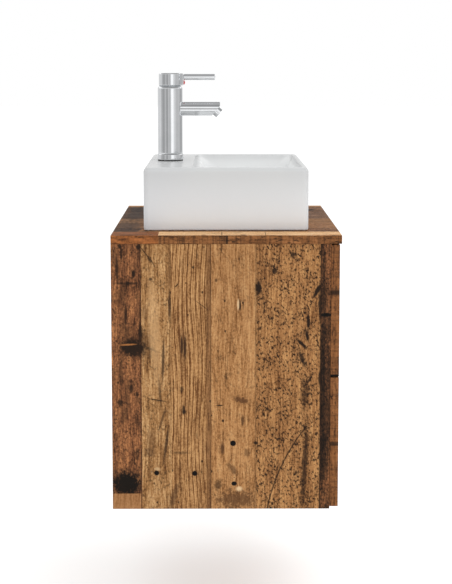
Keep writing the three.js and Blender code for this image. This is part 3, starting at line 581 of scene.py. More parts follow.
sideFace = {"across": "y", "along": "z", "thick": "x", "sign": -1.0, "start": 205.0, "width": 391.5}
topFace = {"across": "x", "along": "y", "thick": "z", "sign": 1.0, "start": 260.0, "width": 520.0}
frontFace = {"across": "x", "along": "z", "thick": "y", "sign": 1.0, "start": 260.0, "width": 520.0}
boards = {
    "side": {
        **sideFace, "seed": 0.0, "planks": sidePlanks, "marks": sideMarks, "speckColour": "3d2817",
        "markColour": "261a11", "seamColour": "2e1e14", "rough": 0.62,
        "arcs": [{"centre": (630, -69), "radius": 358, "wide": 1.8, "ragged": 1.2, "strength": 0.85,
                  "plank": (258, 372), "below": 153}],
        "insert": {"to": 52, "below": 28.7, "dark": "7c5230", "light": "b3875c"},
    },
    "farSide": {
        **sideFace, "seed": 61.0, "planks": sidePlanks, "speckColour": "3d2817", "markColour": "261a11",
        "seamColour": "2e1e14", "rough": 0.62,
        "marks": [
            mark(34, 120, 20, 14, 0.95, ragged=0.9, plank=(0, 70)),
            mark(128, 390, 5, 20),
            mark(79, 430, 5, 5, 0.9, colour="14110e", **nailHole),
            mark(216, 260, 5, 5, 0.9, colour="14110e", **nailHole),
            mark(300, 60, 12, 6, 0.7, ragged=1.2),
            mark(148, 40, 10, 30, 0.5, ragged=1.3, colour="5c3f27"),
        ],
    },
    "top": {
        **topFace, "seed": 23.0,
        "speckColour": "2e1f14", "markColour": "251911", "seamColour": "3a281b", "rough": 0.62,
        "insert": {"to": 56, "from": 121, "dark": "3a2415", "light": "a8693a"},
        "planks": [
            plank(0, 4, "3b2616", "7f5431", "9a6a42", specks=0.5, dashes=0.9),
            plank(1.0, 8, "b58556", "e4ba8c", "f6d6aa", rings=0.1, specks=0.1, seam=0.4,
                  seamStrength=0.3),
            plank(56, 13, "4a3220", "8a6040", "b07f52", specks=0.55, blots=0.4),
            plank(112, 19, "5d3e26", "9a6c45", "bd8c5c", specks=0.4, blots=0.3),
            plank(188, 26, "6b4a2e", "9a7049", "b98d62", rings=0.25),
            plank(268, 31, "53382a", "7e5b42", "a27a5a", specks=0.5),
            plank(392, 38, "4a3020", "815a3c", "a87a52", specks=0.6),
            plank(497, 45, "8a5f3a", "b98a5c", "d3a877", specks=0.15),
        ],
        "marks": [
            mark(60, 178, 60, 34, 0.75, ragged=1.7, plank=(56, 112), colour="2b1c13"),
            mark(150, 186, 60, 26, 0.7, ragged=1.7, colour="2b1c13"),
            mark(330, 180, 90, 24, 0.75, ragged=1.7, colour="2b1c13"),
            mark(440, 176, 60, 30, 0.8, ragged=1.7, plank=(392, 497), colour="2b1c13"),
            mark(90, 150, 40, 5, 0.6, ragged=1.0, colour="b07a4a", turn=12),
            mark(430, -176, 22, 7, 0.8, ragged=1.0, turn=18),
            mark(70, -170, 5, 26, 0.5, ragged=1.2),
            mark(8, 40, 8, 4, 0.5, colour="6b4a2e"),
            mark(8, -30, 8, 6, 0.7, colour="5a3c25"),
            mark(28, 180, 27, 26, 0.8, ragged=2.0, colour="2b1c13", plank=(1, 56)),
            mark(28, 8, 27, 0.9, 0.7, ragged=0.2, plank=(1, 56)),
            mark(28, -70, 27, 0.9, 0.7, ragged=0.2, plank=(1, 56)),
            mark(40, -20, 3, 9, 0.8, ragged=0.8, plank=(1, 56)),
        ],
    },
    "front": {
        **frontFace, "seed": 37.0,
        "speckColour": "3a2617", "markColour": "261a11", "seamColour": "2e1e14", "rough": 0.6,
        "planks": [
            plank(0, 5, "3a2415", "7d5230", "96663e", specks=0.4, dashes=0.9),
            plank(1.0, 9, "52361f", "835a39", "a67b53", specks=0.5, seam=0.4),
            plank(62, 14, "7d5737", "a37b52", "bf9a70", rings=0.28),
            plank(138, 21, "8f663f", "ad8055", "c09768", specks=0.15),
            plank(226, 27, "664527", "966b45", "b0845a", specks=0.9),
            plank(334, 33, "805a38", "a47c53", "be966a", rings=0.3),
            plank(402, 39, "4a2f1e", "734b2e", "a0704a", specks=0.5),
            plank(470, 46, "8a6340", "ab8158", "c39b6f", specks=0.2),
        ],
        "marks": [
            # painted shade: a near-black spot on the fronts' near edge where the gap between upper and
            # lower front lies
            mark(0.5, 245, 3, 2.6, 1.0, ragged=0.1, soft=0.4, colour="0d0a08"),
            mark(0.5, 396, 1.5, 5, ragged=0.5, soft=0.4),
            mark(0.5, 120, 1.5, 4, 0.8, ragged=0.5, soft=0.4),
            mark(30, 330, 16, 22, 0.95, ragged=0.9),
            mark(98, 120, 5, 24),
            mark(180, 400, 5, 5, 0.9, colour="14110e", **nailHole),
            mark(176, 60, 5, 5, 0.9, colour="14110e", **nailHole),
            mark(196, 150, 12, 4, 0.7, ragged=1.2, turn=-14),
            mark(366, 300, 4, 18, 0.85),
            mark(370, 90, 14, 9, 0.8, ragged=1.1),
            mark(436, 180, 18, 24, 0.95, ragged=0.9, plank=(402, 470)),
            mark(436, 430, 6, 12, 0.85),
            mark(496, 250, 3, 30, 0.6),
            mark(500, 70, 5, 5, 0.9, colour="14110e", **nailHole),
        ],
    },
}

materials = {name: plankMaterial(name + "Planks", board) for name, board in boards.items()}

# other finishes


def drawerWood(name, direction, colours):
    material, tree, shader, place = startMaterial(name)
    stretch = [340, 340, 340]
    stretch["xyz".index(direction)] = 16
    grain = noise(tree, scaled(tree, place, tuple(stretch)), 5, 0.6)
    cloud = noise(tree, scaled(tree, place, (14, 14, 14)), 3)
    tone = calc(tree, "MULTIPLY_ADD", grain, 0.65, calc(tree, "MULTIPLY", cloud, 0.35))
    colour = ramp(tree, tone, list(zip((0.32, 0.52, 0.7), (linear(colour) for colour in colours))))
    tree.links.new(colour, shader.inputs["Base Color"])
    tree.links.new(remap(tree, grain, 0.3, 0.7, 0.42, 0.58), shader.inputs["Roughness"])
    addBump(tree, shader, grain, 0.25, 0.0003)
    return material


def polishedChrome(name, tint, rough):
    material, tree, shader, place = startMaterial(name)
    film = noise(tree, scaled(tree, place, (45, 45, 45)), 4, 0.6)
    fine = noise(tree, scaled(tree, place, (900, 900, 240)), 2)
    twoTone(tree, shader, film, tint, 0.75)
    smear = calc(tree, "MULTIPLY", film, fine)
    tree.links.new(remap(tree, smear, 0.1, 0.45, rough, rough + 0.05), shader.inputs["Roughness"])
    shader.inputs["Metallic"].default_value = 1.0
    addBump(tree, shader, fine, 0.02, 0.0001)
    return material


# tones of the glaze by place, in metres: painted light, it fades lighter and cooler to the foot and lighter
# inside the bowl, cancelling the shade that falls there, and the rim's top is painted lighter
glaze = {
    "outside": ("bcbdbe", "bfc0c0"), "foot": "dcdfe2", "rim": "c8c9c9", "bowl": "e6e7e7",
    "footLightFade": (0.6, 0.5), "rimLightFade": (0.6105, 0.6128), "bowlMiddle": 0.041,
    "bowlWide": (0.181, 0.175), "bowlDeep": (0.098, 0.091),
}


def whiteGlaze(name):
    material, tree, shader, place = startMaterial(name)
    cloud = noise(tree, scaled(tree, place, (7, 7, 7)), 3)
    peel = noise(tree, scaled(tree, place, (60, 60, 60)), 2)
    colour = mixColour(tree, remap(tree, cloud, 0.3, 0.7), *map(linear, glaze["outside"]))
    split = addNode(tree, "ShaderNodeSeparateXYZ", {0: place}).outputs
    height = split["Z"]
    # painted light: the glaze fades lighter and cooler towards the foot, cancelling the shade and warm
    # bounce from the wood top that fall there
    colour = mixColour(tree, remap(tree, height, *glaze["footLightFade"]), colour, linear(glaze["foot"]))
    # painted highlight: the flat top of the rim takes a lighter tone, as light from above would give it
    colour = mixColour(tree, remap(tree, height, *glaze["rimLightFade"]), colour, linear(glaze["rim"]))
    # painted light: the inside of the bowl is lighter, cancelling the shade that falls into it
    width = calc(tree, "ABSOLUTE", split["X"])
    depth = calc(tree, "ABSOLUTE", calc(tree, "ADD", split["Y"], glaze["bowlMiddle"]))
    bowlPaintedLift = calc(tree, "MULTIPLY", remap(tree, width, *glaze["bowlWide"]),
                  remap(tree, depth, *glaze["bowlDeep"]))
    bowlPaintedLift = calc(tree, "MULTIPLY", bowlPaintedLift, remap(tree, height, *reversed(glaze["rimLightFade"])))
    colour = mixColour(tree, bowlPaintedLift, colour, linear(glaze["bowl"]))
    tree.links.new(colour, shader.inputs["Base Color"])
    tree.links.new(remap(tree, cloud, 0.3, 0.7, 0.24, 0.25), shader.inputs["Roughness"])
    addBump(tree, shader, peel, 0.04, 0.0006)
    shader.inputs["Specular IOR Level"].default_value = 0.3
    shader.inputs["Coat Weight"].default_value = 0.12
    shader.inputs["Coat Roughness"].default_value = 0.12
    return material


def brushedMetal(name, tints, rough, direction):
    material, tree, shader, place = startMaterial(name)
    stretch = [1400, 1400, 1400]
    stretch["xyz".index(direction)] = 30
    brush = noise(tree, scaled(tree, place, tuple(stretch)), 3)
    cloud = noise(tree, scaled(tree, place, (55, 55, 55)), 4, 0.7)
    twoTone(tree, shader, cloud, tints)
    tree.links.new(remap(tree, brush, 0.3, 0.7, rough - 0.06, rough + 0.1), shader.inputs["Roughness"])
    shader.inputs["Metallic"].default_value = 1.0
    addBump(tree, shader, brush, 0.15, 0.0001)
    return material


def moulded(name, tints, rough, grainScale=700):
    material, tree, shader, place = startMaterial(name)
    grain = noise(tree, scaled(tree, place, (grainScale,) * 3), 2)
    cloud = noise(tree, scaled(tree, place, (30, 30, 30)), 3)
    twoTone(tree, shader, cloud, tints)
    tree.links.new(remap(tree, grain, 0.3, 0.7, rough - 0.05, rough + 0.07), shader.inputs["Roughness"])
    addBump(tree, shader, grain, 0.12, 0.0002)
    return material


birchTones = ("a98456", "c9a778", "dcc095")
materials.update({
    "birchAlongY": drawerWood("birchAlongY", "y", birchTones),
    "birchAlongX": drawerWood("birchAlongX", "x", birchTones),
    "chrome": polishedChrome("chrome", ("d6d8da", "dfe0e2"), 0.045),
    "ceramic": whiteGlaze("whiteGlaze"),
    "zinc": brushedMetal("zincSteel", ("9ea3a6", "b9bdc0"), 0.34, "y"),
    "brass": brushedMetal("brass", ("a88a4a", "c2a560"), 0.32, "z"),
    "rubber": moulded("rubber", ("191919", "262626"), 0.82),
    "plastic": moulded("paleMoulding", ("d5d5d0", "e4e4e0"), 0.42),
    "red": moulded("redEnamel", ("a81a1f", "c4262b"), 0.22, 300),
})
print("materials ready,", len(materials))

# mesh helpers


def register(piece, body, material, replaced=()):
    piece.data.materials.clear()
    piece.data.materials.append(materials[material])
    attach(piece, body)
    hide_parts(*replaced)
    return piece


def makeObject(name, points, faces, sharp=32):
    mesh = bpy.data.meshes.new(name)
    mesh.from_pydata([tuple(p) for p in points], [], faces)
    shape = bmesh.new()
    shape.from_mesh(mesh)
    bmesh.ops.remove_doubles(shape, verts=shape.verts, dist=1e-6)
    bmesh.ops.recalc_face_normals(shape, faces=shape.faces)
    shape.to_mesh(mesh)
    shape.free()
    piece = addObject(name, mesh)
    smooth(piece, sharp)
    return piece


def smooth(piece, sharp=32):
    for face in piece.data.polygons:
        face.use_smooth = True
    piece.data.set_sharp_from_angle(angle=math.radians(sharp))


def bevel(piece, width, segments=2, limit=40):
    edge = piece.modifiers.new("edge", "BEVEL")
    edge.width = width * mm
    edge.segments = segments
    edge.limit_method = "ANGLE"
    edge.angle_limit = math.radians(limit)
    edge.use_clamp_overlap = True
    edge.harden_normals = True
    return piece


def cut(piece, *cutters):
    for cutter in cutters:
        tool = piece.modifiers.new("cut", "BOOLEAN")
        tool.operation = "DIFFERENCE"
        tool.solver = "EXACT"
        tool.object = cutter
    bpy.context.view_layer.update()
    made = bpy.data.meshes.new_from_object(piece.evaluated_get(bpy.context.evaluated_depsgraph_get()))
    piece.modifiers.clear()
    piece.data = made
    for cutter in cutters:
        bpy.data.objects.remove(cutter)
    return piece


# corners of a closed outline as (a, b) or (a, b, radius); round ones become short arcs
def rounded(corners, steps=5):
    outline = []
    count = len(corners)
    for i, corner in enumerate(corners):
        here = Vector(corner[:2])
        radius = corner[2] if len(corner) > 2 else 0
        if radius <= 0:
            outline.append(here)
            continue
        before = Vector(corners[i - 1][:2]) - here
        after = Vector(corners[(i + 1) % count][:2]) - here
        angle = before.angle(after)
        reach = min(radius / math.tan(angle / 2), before.length * 0.49, after.length * 0.49)
        radius = reach * math.tan(angle / 2)
        first, last = here + before.normalized() * reach, here + after.normalized() * reach
        inward = (before.normalized() + after.normalized()).normalized()
        middle = here + inward * (radius / math.sin(angle / 2))
        start, end = first - middle, last - middle
        turn = start.angle_signed(end)
        for step in range(steps + 1):
            share = step / steps
            outline.append(middle + Matrix.Rotation(-turn * share, 2) @ start)
    return outline


def turnedPoints(outline, sides, place):
    points = []
    for radius, height in outline:
        for side in range(sides):
            angle = 2 * math.pi * side / sides
            points.append(place @ Vector((radius * math.cos(angle), radius * math.sin(angle), height)))
    return points


def ringFaces(rings, sides):
    faces = []
    for ring in range(rings):
        here, following = ring * sides, (ring + 1) % rings * sides
        for side in range(sides):
            after = (side + 1) % sides
            faces.append((here + side, here + after, following + after, following + side))
    return faces


# closed outline of (radius, height, rounding) in millimetres, turned round the Z axis of place
def turned(name, corners, place, sides=72, steps=4, sharp=32):
    outline = [Vector((max(p.x, 0.0), p.y)) * mm for p in rounded(corners, steps)]
    return makeObject(name, turnedPoints(outline, sides, place), ringFaces(len(outline), sides), sharp)


def at(x, y, z, axis="Z"):
    turns = {
        "Z": Matrix.Identity(4),
        "-Y": Matrix.Rotation(math.radians(90), 4, "X"),
        "Y": Matrix.Rotation(math.radians(-90), 4, "X"),
        "X": Matrix.Rotation(math.radians(90), 4, "Y"),
        "-X": Matrix.Rotation(math.radians(-90), 4, "Y"),
    }
    return Matrix.Translation((x, y, z)) @ turns[axis]


def blockPiece(name, low, high):
    x0, y0, z0 = low
    x1, y1, z1 = high
    points = [(x, y, z) for z in (z0, z1) for x, y in ((x0, y0), (x1, y0), (x1, y1), (x0, y1))]
    faces = [(0, 3, 2, 1), (4, 5, 6, 7), (0, 1, 5, 4), (1, 2, 6, 5), (2, 3, 7, 6), (3, 0, 4, 7)]
    return makeObject(name, points, faces)


# section of (a, b) points in metres, swept along the Z axis of place
def prism(name, section, place, length, sharp=20):
    count = len(section)
    points = [place @ Vector((a, b, height)) for height in (0, length) for a, b in section]
    faces = [tuple(range(count))[::-1], tuple(range(count, 2 * count))]
    faces += [(i, (i + 1) % count, count + (i + 1) % count, count + i) for i in range(count)]
    return makeObject(name, points, faces, sharp)


# boards with real joints between their planks

plankCut = {"deep": 0.22, "half": 0.38, "edge": 0.6}


# outline of a board's end: the face with the plank joints lies at b = 0, the back at b = thick
def boardSection(width, thick, seams):
    section = [Vector((0, 0))]
    for seam in seams:
        section += [Vector((seam - plankCut["half"] * mm, 0)), Vector((seam, plankCut["deep"] * mm)),
                    Vector((seam + plankCut["half"] * mm, 0))]
    return section + [Vector((width, 0)), Vector((width, thick)), Vector((0, thick))]


def plankSeams(board, least=3):
    return [plank["from"] * mm for plank in boards[board]["planks"][1:] if plank["from"] > least]


def makeSide(node, board, side):
    low, high = span(node)
    depth = high.y - low.y
    seams = plankSeams(board)
    section = boardSection(depth, high.x - low.x, seams)
    face = low.x if side < 0 else high.x
    # a runs from the wall to the front, b runs into the board
    place = Matrix(((0, -side, 0, face), (-1, 0, 0, high.y), (0, 0, 1, low.z), (0, 0, 0, 1)))
    panel = prism(node + "_planked", section, place, high.z - low.z)
    bevel(panel, plankCut["edge"], 2, 75)
    return register(panel, "cabinet", board, [node])


topHole = {"radius": 25, "reach": 30}


def makeTop():
    low, high = span("top_panel")
    section = boardSection(high.x - low.x, high.z - low.z, plankSeams("top"))
    place = Matrix(((1, 0, 0, low.x), (0, 0, 1, low.y), (0, -1, 0, high.z), (0, 0, 0, 1)))
    panel = prism("top_panel_planked", section, place, high.y - low.y)
    r, reach = topHole["radius"], topHole["reach"]
    bore = [(0, -reach), (r, -reach), (r, reach), (0, reach)]
    wasteHole = turned("wasteHole", bore, at(0, wasteY, low.z), 48)
    hoseHole = turned("hoseHole", bore, at(0, tapY, low.z), 48)
    cut(panel, wasteHole, hoseHole)
    smooth(panel, 20)
    bevel(panel, plankCut["edge"], 2, 75)
    return register(panel, "cabinet", "top", ["top_panel"])


grip = {"half": 65, "deep": 20, "corner": 6}


def makeFront(node, body):
    low, high = span(node)
    section = boardSection(high.x - low.x, high.y - low.y, plankSeams("front"))
    place = Matrix(((1, 0, 0, low.x), (0, 1, 0, low.y), (0, 0, 1, low.z), (0, 0, 0, 1)))
    panel = prism(node + "_planked", section, place, high.z - low.z)
    half, deep, corner = grip["half"] * mm, grip["deep"] * mm, grip["corner"] * mm
    outline = rounded([(-half, -deep, corner), (half, -deep, corner), (half, deep), (-half, deep)], 6)
    cutPlace = Matrix(((1, 0, 0, 0), (0, 0, 1, low.y - 0.01), (0, 1, 0, high.z), (0, 0, 0, 1)))
    notch = prism("notch", outline, cutPlace, 0.05)
    cut(panel, notch)
    smooth(panel, 20)
    bevel(panel, plankCut["edge"], 2, 75)
    return register(panel, body, "front", [node])


makeSide("side_panel_left", "side", -1)
makeSide("side_panel_right", "farSide", 1)
makeTop()
makeFront("upper_front", "upper_drawer")
makeFront("lower_front", "lower_drawer")
print("plank boards built")


def dress(node, material, slotName=None, width=0.5, segments=2, limit=40):
    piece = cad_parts[node]
    piece.data.materials.clear()
    piece.data.materials.append(materials[material])
    if width:
        bevel(piece, width, segments, limit)
    return piece


for node in ("back_rail_upper", "back_rail_lower", "lower_back", "upper_back_left", "upper_back_right",
             "lower_bottom", "upper_bottom"):
    dress(node, "birchAlongX", width=0.6)
dress("bottom_panel", "top", width=0.6)
for node in ("lower_side_left", "lower_side_right", "upper_side_left", "upper_side_right"):
    dress(node, "birchAlongY", width=0.8)
dress("upper_notch_liner", "plastic", width=1.2, segments=3)
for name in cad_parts:
    if "runner" in name:
        dress(name, "zinc", width=0.25)
    if name.startswith("hanger"):
        dress(name, "zinc", width=0.8)

# basin

basin = {
    "outerCorner": 10,
    "topEdge": 8,
    "bottomEdge": 3,
    "wall": 12,
    "ledge": 90,
    "rimEdge": 5,
    "bowlDepth": 88,
    "backRun": 57,
    "frontRun": 36,
    "sideRun": 12,
    "bowlCorner": 20,
    "footRound": 20,
    "wasteRadius": 23,
    "bossWall": 11,
}


# the same number of points all round, so that rings can be joined one to the next
def roundedRing(lowX, highX, lowY, highY, corner, z, perCorner=10, perSide=10):
    ring = []
    centres = [(highX - corner, highY - corner, 0), (lowX + corner, highY - corner, 90),
               (lowX + corner, lowY + corner, 180), (highX - corner, lowY + corner, 270)]
    for i, (cx, cy, startAngle) in enumerate(centres):
        arc = []
        for step in range(perCorner + 1):
            angle = math.radians(startAngle + 90 * step / perCorner)
            arc.append(Vector((cx + corner * math.cos(angle), cy + corner * math.sin(angle), z)))
        nextX, nextY, nextAngle = centres[(i + 1) % 4]
        angle = math.radians(nextAngle)
        target = Vector((nextX + corner * math.cos(angle), nextY + corner * math.sin(angle), z))
        side = [arc[-1].lerp(target, (step + 1) / (perSide + 1)) for step in range(perSide)]
        ring += arc + side
    return ring


# a circle whose points face the points of ring
def circleLike(ring, x, y, radius, z):
    made = []
    for point in ring:
        angle = math.atan2(point.y - y, point.x - x)
        made.append(Vector((x + radius * math.cos(angle), y + radius * math.sin(angle), z)))
    return made


def makeBasin():
    low, high = basinLow, basinHigh
    s = {key: value * mm for key, value in basin.items()}
    rings = []

    def outer(inset, z):
        rings.append(roundedRing(low.x + inset, high.x - inset, low.y + inset, high.y - inset,
                                 max(s["outerCorner"] - inset, 0.003), z))

    bowlBack, bowlFront = high.y - s["ledge"], low.y + s["wall"]
    bowlLeft, bowlRight = low.x + s["wall"], high.x - s["wall"]
    floorZ = rimZ - s["bowlDepth"]
    underZ = floorZ - s["wall"]

    # underside: from the waste boss out to the foot, then up the outside
    wall = s["wall"]
    foot = roundedRing(low.x + wall, high.x - wall, low.y + wall, high.y - wall, 0.006, low.z)
    ceiling = [Vector((p.x, p.y, underZ)) for p in foot]
    wasteUnder = circleLike(foot, 0, wasteY, s["wasteRadius"], low.z)
    bossUnder = circleLike(foot, 0, wasteY, s["wasteRadius"] + s["bossWall"], low.z)
    bossTop = circleLike(foot, 0, wasteY, s["wasteRadius"] + s["bossWall"] + 0.001, underZ)
    rings += [wasteUnder, bossUnder, bossTop, ceiling, foot]
    for step in range(5):
        angle = math.pi / 2 * step / 4
        outer(s["bottomEdge"] * (1 - math.sin(angle)), low.z + s["bottomEdge"] * (1 - math.cos(angle)))
    outer(0, low.z + 0.03)
    outer(0, rimZ - s["topEdge"] - 0.02)
    for step in range(9):
        angle = math.pi / 2 * step / 8
        outer(s["topEdge"] * (1 - math.cos(angle)), rimZ - s["topEdge"] * (1 - math.sin(angle)))

    # ring of the bowl at a depth under the rim; inset is how far the walls have run in, 0 to 1
    def bowl(drop, inset, corner):
        rings.append(roundedRing(
            bowlLeft + s["sideRun"] * inset, bowlRight - s["sideRun"] * inset,
            bowlFront + s["frontRun"] * inset, bowlBack - s["backRun"] * inset, corner, rimZ - drop))

    # the flat rim turns over into the bowl, runs down its walls and rounds into the floor
    edge = s["rimEdge"]
    for step in range(7):
        angle = math.pi / 2 * step / 6
        out = edge * (1 - math.sin(angle)) * 0.8
        rings.append(roundedRing(bowlLeft - out, bowlRight + out, bowlFront - out, bowlBack + out,
                                 s["bowlCorner"] + out, rimZ - edge * (1 - math.cos(angle)) * 0.9))
    footRound = s["footRound"]
    straight = s["bowlDepth"] - footRound
    for step in range(1, 9):
        drop = edge + (straight - edge) * step / 8
        bowl(drop, drop / s["bowlDepth"], s["bowlCorner"] + 0.006 * step / 8)
    for step in range(1, 9):
        angle = math.pi / 2 * step / 8
        drop = straight + footRound * math.sin(angle)
        inset = straight / s["bowlDepth"] + (1 - math.cos(angle)) * 0.62
        bowl(drop, inset, s["bowlCorner"] + 0.006 + 0.012 * (1 - math.cos(angle)))
    floorRing = rings[-1]
    for share in (0.3, 0.6, 0.85):
        target = circleLike(floorRing, 0, wasteY, s["wasteRadius"] + 0.001, floorZ - 0.0012)
        rings.append([a.lerp(b, share) for a, b in zip(floorRing, target)])
    rings.append(circleLike(floorRing, 0, wasteY, s["wasteRadius"] + 0.001, floorZ - 0.0012))
    rings.append(circleLike(floorRing, 0, wasteY, s["wasteRadius"], floorZ - 0.003))

    sides = len(rings[0])
    points = [p for ring in rings for p in ring]
    piece = makeObject("basin_glazed", points, ringFaces(len(rings), sides), 40)
    return register(piece, "cabinet", "ceramic", ["basin"])


makeBasin()
print("basin built")

# tap

tap = {
    "baseLow": 2, "baseHigh": 13.5, "baseRadius": 25.35, "baseTop": 24.75,
    "bodyRadius": 23.85, "bodyTop": 143.5, "boreRadius": 17.55, "boreDeep": 38, "lowBore": 14,
    "capLow": 145.5, "capTop": 168.5, "capRadius": 21.7,
    "spoutRadius": 13.6, "spoutHeight": 99.9, "spoutReach": 96.4,
    "tipTop": (96.4, 105.9), "tipUnder": (80.4, 86.9),
    "leverRadius": 5.9, "leverReach": 87.0, "leverHeight": 161.0, "leverStart": 26.05,
    "carrierHalf": 7.0, "carrierReach": 25.75, "indexHeight": 150.5, "indexRadius": 4.3,
}


def tapPlace(height=0.0, axis="Z"):
    return at(0, tapY, rimZ + height * mm, axis)


def polished(piece, node, body="cabinet"):
    return register(piece, body, "chrome", [node])


def makeTapBase():
    low, high, r, upper = tap["baseLow"], tap["baseHigh"], tap["baseRadius"], tap["baseTop"]
    base = turned("tap_base_polished", [
        (tap["lowBore"], low), (r - 0.6, low, 0.4), (r, low + 1.2, 0.5), (upper + 0.2, high - 1.6, 1.0),
        (upper - 0.6, high, 0.5), (tap["lowBore"], high)], tapPlace(), 96)
    return polished(base, "tap_base")


def makeTapBody():
    r, top, low = tap["bodyRadius"], tap["bodyTop"], tap["baseHigh"] + 0.3
    port, well = tap["spoutHeight"] - 4, low + 20
    bore, shelf, lowBore = tap["boreRadius"], top - tap["boreDeep"], tap["lowBore"]
    body = turned("tap_body_polished", [
        (lowBore, low), (r - 0.2, low, 0.3), (r, low + 1.7, 0.4), (r, top - 4.2, 2.4),
        (r - 1.4, top - 1.2, 1.4), (tap["capRadius"] - 1.2, top, 0.5), (bore, top), (bore, shelf),
        (5, shelf), (5, port), (0, port), (0, well), (lowBore, well)], tapPlace(), 128)
    return polished(body, "tap_body")


# middle of the spout's sloping tip and the way its mouth looks out
def tipFrame():
    (topReach, topHeight), (underReach, underHeight) = tap["tipTop"], tap["tipUnder"]
    slope = Vector((topReach - underReach, topHeight - underHeight)).normalized()
    out = Vector((0, -slope.y, -slope.x))
    middle = Vector((0, tapY - (topReach + underReach) / 2 * mm, rimZ + (topHeight + underHeight) / 2 * mm))
    return middle, out


aerator = {"socket": 10.4, "radius": 10, "strainer": 7.4, "slitCircle": 7.0, "slitStep": 1.9,
           "slitHalf": 0.45}


def makeSpout():
    r, reach = tap["spoutRadius"], tap["spoutReach"]
    spout = turned("tap_spout_polished", [
        (0, 19), (r, 19), (r, reach, 1.2), (0, reach)], tapPlace(tap["spoutHeight"], "-Y"), 96)
    middle, out = tipFrame()
    shape = bmesh.new()
    shape.from_mesh(spout.data)
    bmesh.ops.bisect_plane(shape, geom=shape.verts[:] + shape.edges[:] + shape.faces[:], dist=1e-6,
                           plane_co=middle, plane_no=out, clear_outer=True)
    openEdges = [edge for edge in shape.edges if edge.is_boundary]
    bmesh.ops.holes_fill(shape, edges=openEdges, sides=0)
    bmesh.ops.recalc_face_normals(shape, faces=shape.faces)
    shape.to_mesh(spout.data)
    shape.free()
    mouth = Matrix.Translation(middle) @ out.to_track_quat("Z", "Y").to_matrix().to_4x4()
    r = aerator["socket"]
    socket = turned("socket", [(0, -14), (r, -14), (r, 20), (0, 20)], mouth, 64)
    cut(spout, socket)
    smooth(spout, 30)
    bevel(spout, 0.7, 3, 38)
    return polished(spout, "tap_spout")


def makeAerator():
    middle, out = tipFrame()
    turn = out.to_track_quat("Z", "Y").to_matrix().to_4x4()
    place = Matrix.Translation(middle) @ turn
    r, mesh = aerator["radius"], aerator["strainer"]
    shell = turned("tap_aerator_polished", [
        (0, -13), (r, -13), (r, 8.2, 0.8), (9.3, 9, 0.4), (7.8, 9, 0.3), (7.6, 6.2), (0, 6.2)], place, 72)
    polished(shell, "tap_aerator")
    strainer = turned("tap_aerator_strainer", [(0, 6.3), (mesh, 6.3), (mesh, 7.4, 0.4), (0, 7.8)],
                      place, 48)
    slits = []
    for step in range(-3, 4):
        middle, wide = step * aerator["slitStep"], aerator["slitHalf"]
        half = math.sqrt(aerator["slitCircle"] ** 2 - middle ** 2)
        slit = blockPiece("slit", [edge * mm for edge in (middle - wide, -half, 7.0)],
                          [edge * mm for edge in (middle + wide, half, 10)])
        slit.data.transform(place)
        slits.append(slit)
    cut(strainer, *slits)
    smooth(strainer, 30)
    register(strainer, "cabinet", "plastic")


def makeCap():
    r, low, top = tap["capRadius"], tap["capLow"], tap["capTop"]
    cap = turned("tap_cap_polished", [
        (r - 5.2, low), (r - 0.4, low, 0.3), (r, low + 0.6, 0.4), (r, top - 1.6, 1.2), (r - 2.0, top, 1.0),
        (0, top), (0, top - 5.2), (r - 5.2, top - 5.2)], tapPlace(), 128)
    half = (tap["carrierHalf"] + 0.4) * mm
    slot = blockPiece("slot", (-half, tapY - 0.06, rimZ + (low - 5) * mm),
                      (half, tapY + 0.0075, rimZ + (top + 5) * mm))
    cut(cap, slot)
    smooth(cap, 30)
    bevel(cap, 0.35, 2, 50)
    return polished(cap, "tap_cap", "tap_handle")


# painted shade: a grey metal ring in the gap between tap body and cap, darker than the chrome, so that the
# gap reads as a dark line
def makeGapShadeRing():
    low, high, r = tap["bodyTop"] - 0.5, tap["capLow"] - 0.1, tap["capRadius"]
    outline = [(r - 5, low), (r - 0.9, low), (r - 0.7, high, 0.3), (r - 5, high)]
    ring = turned("tap_gap_shade_ring", outline, tapPlace(), 96)
    register(ring, "cabinet", "zinc")


def makeCarrier():
    low, top = tap["capLow"], tap["capTop"]
    pivot = top - 11
    turns = [math.radians(90 + 15 * step) for step in range(13)]
    eye = [(6 * math.cos(turn), pivot + 6 * math.sin(turn)) for turn in turns]
    reach = tap["carrierReach"]
    nose = rounded([(8, low - 0.4), (reach, low - 0.4, 2.2), (reach, top - 0.6, 2.6), (8, top - 0.6)], 6)
    outline = [Vector((forward * mm, height * mm)) for forward, height in eye + [tuple(p) for p in nose]]
    half = tap["carrierHalf"] * mm
    place = Matrix(((0, 0, 1, -half), (-1, 0, 0, tapY), (0, 1, 0, rimZ), (0, 0, 0, 1)))
    carrier = prism("tap_lever_carrier_polished", outline, place, 2 * half, 30)
    hole = turned("hole", [(0, 15), (3, 15), (3, 40), (0, 40)], tapPlace(tap["leverHeight"], "-Y"), 32)
    cut(carrier, hole)
    smooth(carrier, 30)
    bevel(carrier, 1.1, 4, 50)
    return polished(carrier, "tap_lever_carrier", "tap_lever")


def makeLever():
    r, reach, start = tap["leverRadius"], tap["leverReach"], tap["leverStart"]
    rod = turned("tap_lever_rod_polished", [
        (0, 16), (2.7, 16), (2.7, start), (r - 0.9, start, 0.2), (r, start + 1.1, 0.5),
        (r, reach - 1.2, 1.0), (r - 1.4, reach, 0.8), (0, reach)], tapPlace(tap["leverHeight"], "-Y"), 64)
    polished(rod, "tap_lever_rod", "tap_lever")
    place = tapPlace(tap["indexHeight"], "-Y")
    wide = tap["indexRadius"]
    dome = turned("tap_index_enamel", [
        (0, start), (wide, start), (wide, start + 1.0, 0.4), (wide * 0.6, start + 2.4, 1.4),
        (0, start + 2.9)], place, 48)
    register(dome, "tap_lever", "red", ["tap_index"])


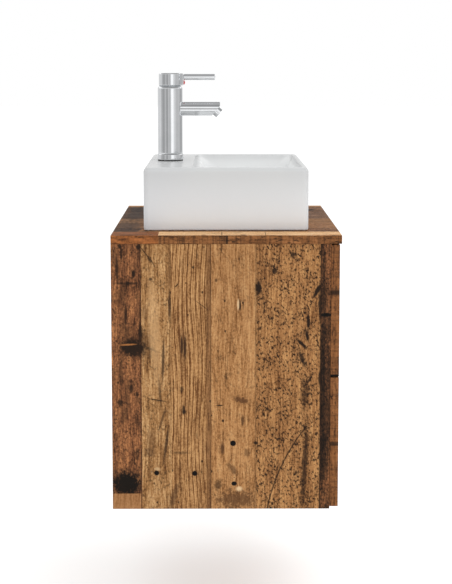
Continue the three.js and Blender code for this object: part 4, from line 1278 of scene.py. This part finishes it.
makeTapBase()
makeTapBody()
makeSpout()
makeAerator()
makeCap()
makeGapShadeRing()
makeCarrier()
makeLever()
for node, finish in (("tap_cartridge", "plastic"), ("tap_cartridge_nut", "brass"), ("tap_stud", "zinc"),
                     ("tap_washer", "zinc"), ("tap_nut", "brass"), ("tap_inlet_left", "zinc"),
                     ("tap_inlet_right", "zinc"), ("tap_gasket", "rubber")):
    dress(node, finish, width=0.3)
print("tap built")

# waste and bottle trap


def wastePlace():
    return at(0, wasteY, 0)


def replaceTurned(node, corners, sides=96, material="chrome", body="cabinet"):
    piece = turned(node + "_turned", corners, wastePlace(), sides)
    return register(piece, body, material, [node])


def makeWaste():
    low, high = (edge.z / mm for edge in span("waste_flange"))
    replaceTurned("waste_flange", [
        (17.5, low), (20.5, low), (20.5, high - 3), (31, high - 3), (31.5, high - 2, 0.4), (29, high, 1.4),
        (19.5, high, 1.5), (17.5, high - 2, 0.8)])
    low, high = (edge.z / mm for edge in span("waste_plug"))
    replaceTurned("waste_plug", [
        (0, low), (3.4, low, 0.6), (3.4, high - 9), (15, high - 7, 1), (16, high - 6), (28, high - 6, 0.4),
        (29, high - 4.6, 0.8), (24, high - 2, 6), (12, high - 0.5, 8), (0, high)], body="waste_plug")
    dress("waste_tail", "chrome", width=0.4)
    low, high = (edge.z / mm for edge in span("waste_gasket"))
    replaceTurned("waste_gasket", [(20.8, low), (33, low, 1.2), (33, high, 0.6), (20.8, high)], 72,
                  "rubber")
    dress("waste_nut", "brass", width=0.8, segments=3)


def makeTrap():
    cupLow, cupHigh = (edge.z / mm for edge in span("trap_cup"))
    cup = turned("trap_cup_turned", [
        (0, cupLow), (22, cupLow, 5), (30, cupLow + 8, 3), (30, cupLow + 26, 0.5), (32, cupLow + 28, 1),
        (32, cupHigh, 0.8), (27.5, cupHigh), (27.5, cupLow + 10, 2), (20, cupLow + 3, 2), (0, cupLow + 3)],
        wastePlace(), 96)
    polished(cup, "trap_cup")
    for node in ("trap_body", "trap_inlet", "trap_outlet", "trap_rosette"):
        dress(node, "chrome", width=0.5, segments=3)


makeWaste()
makeTrap()
print("waste and trap built")
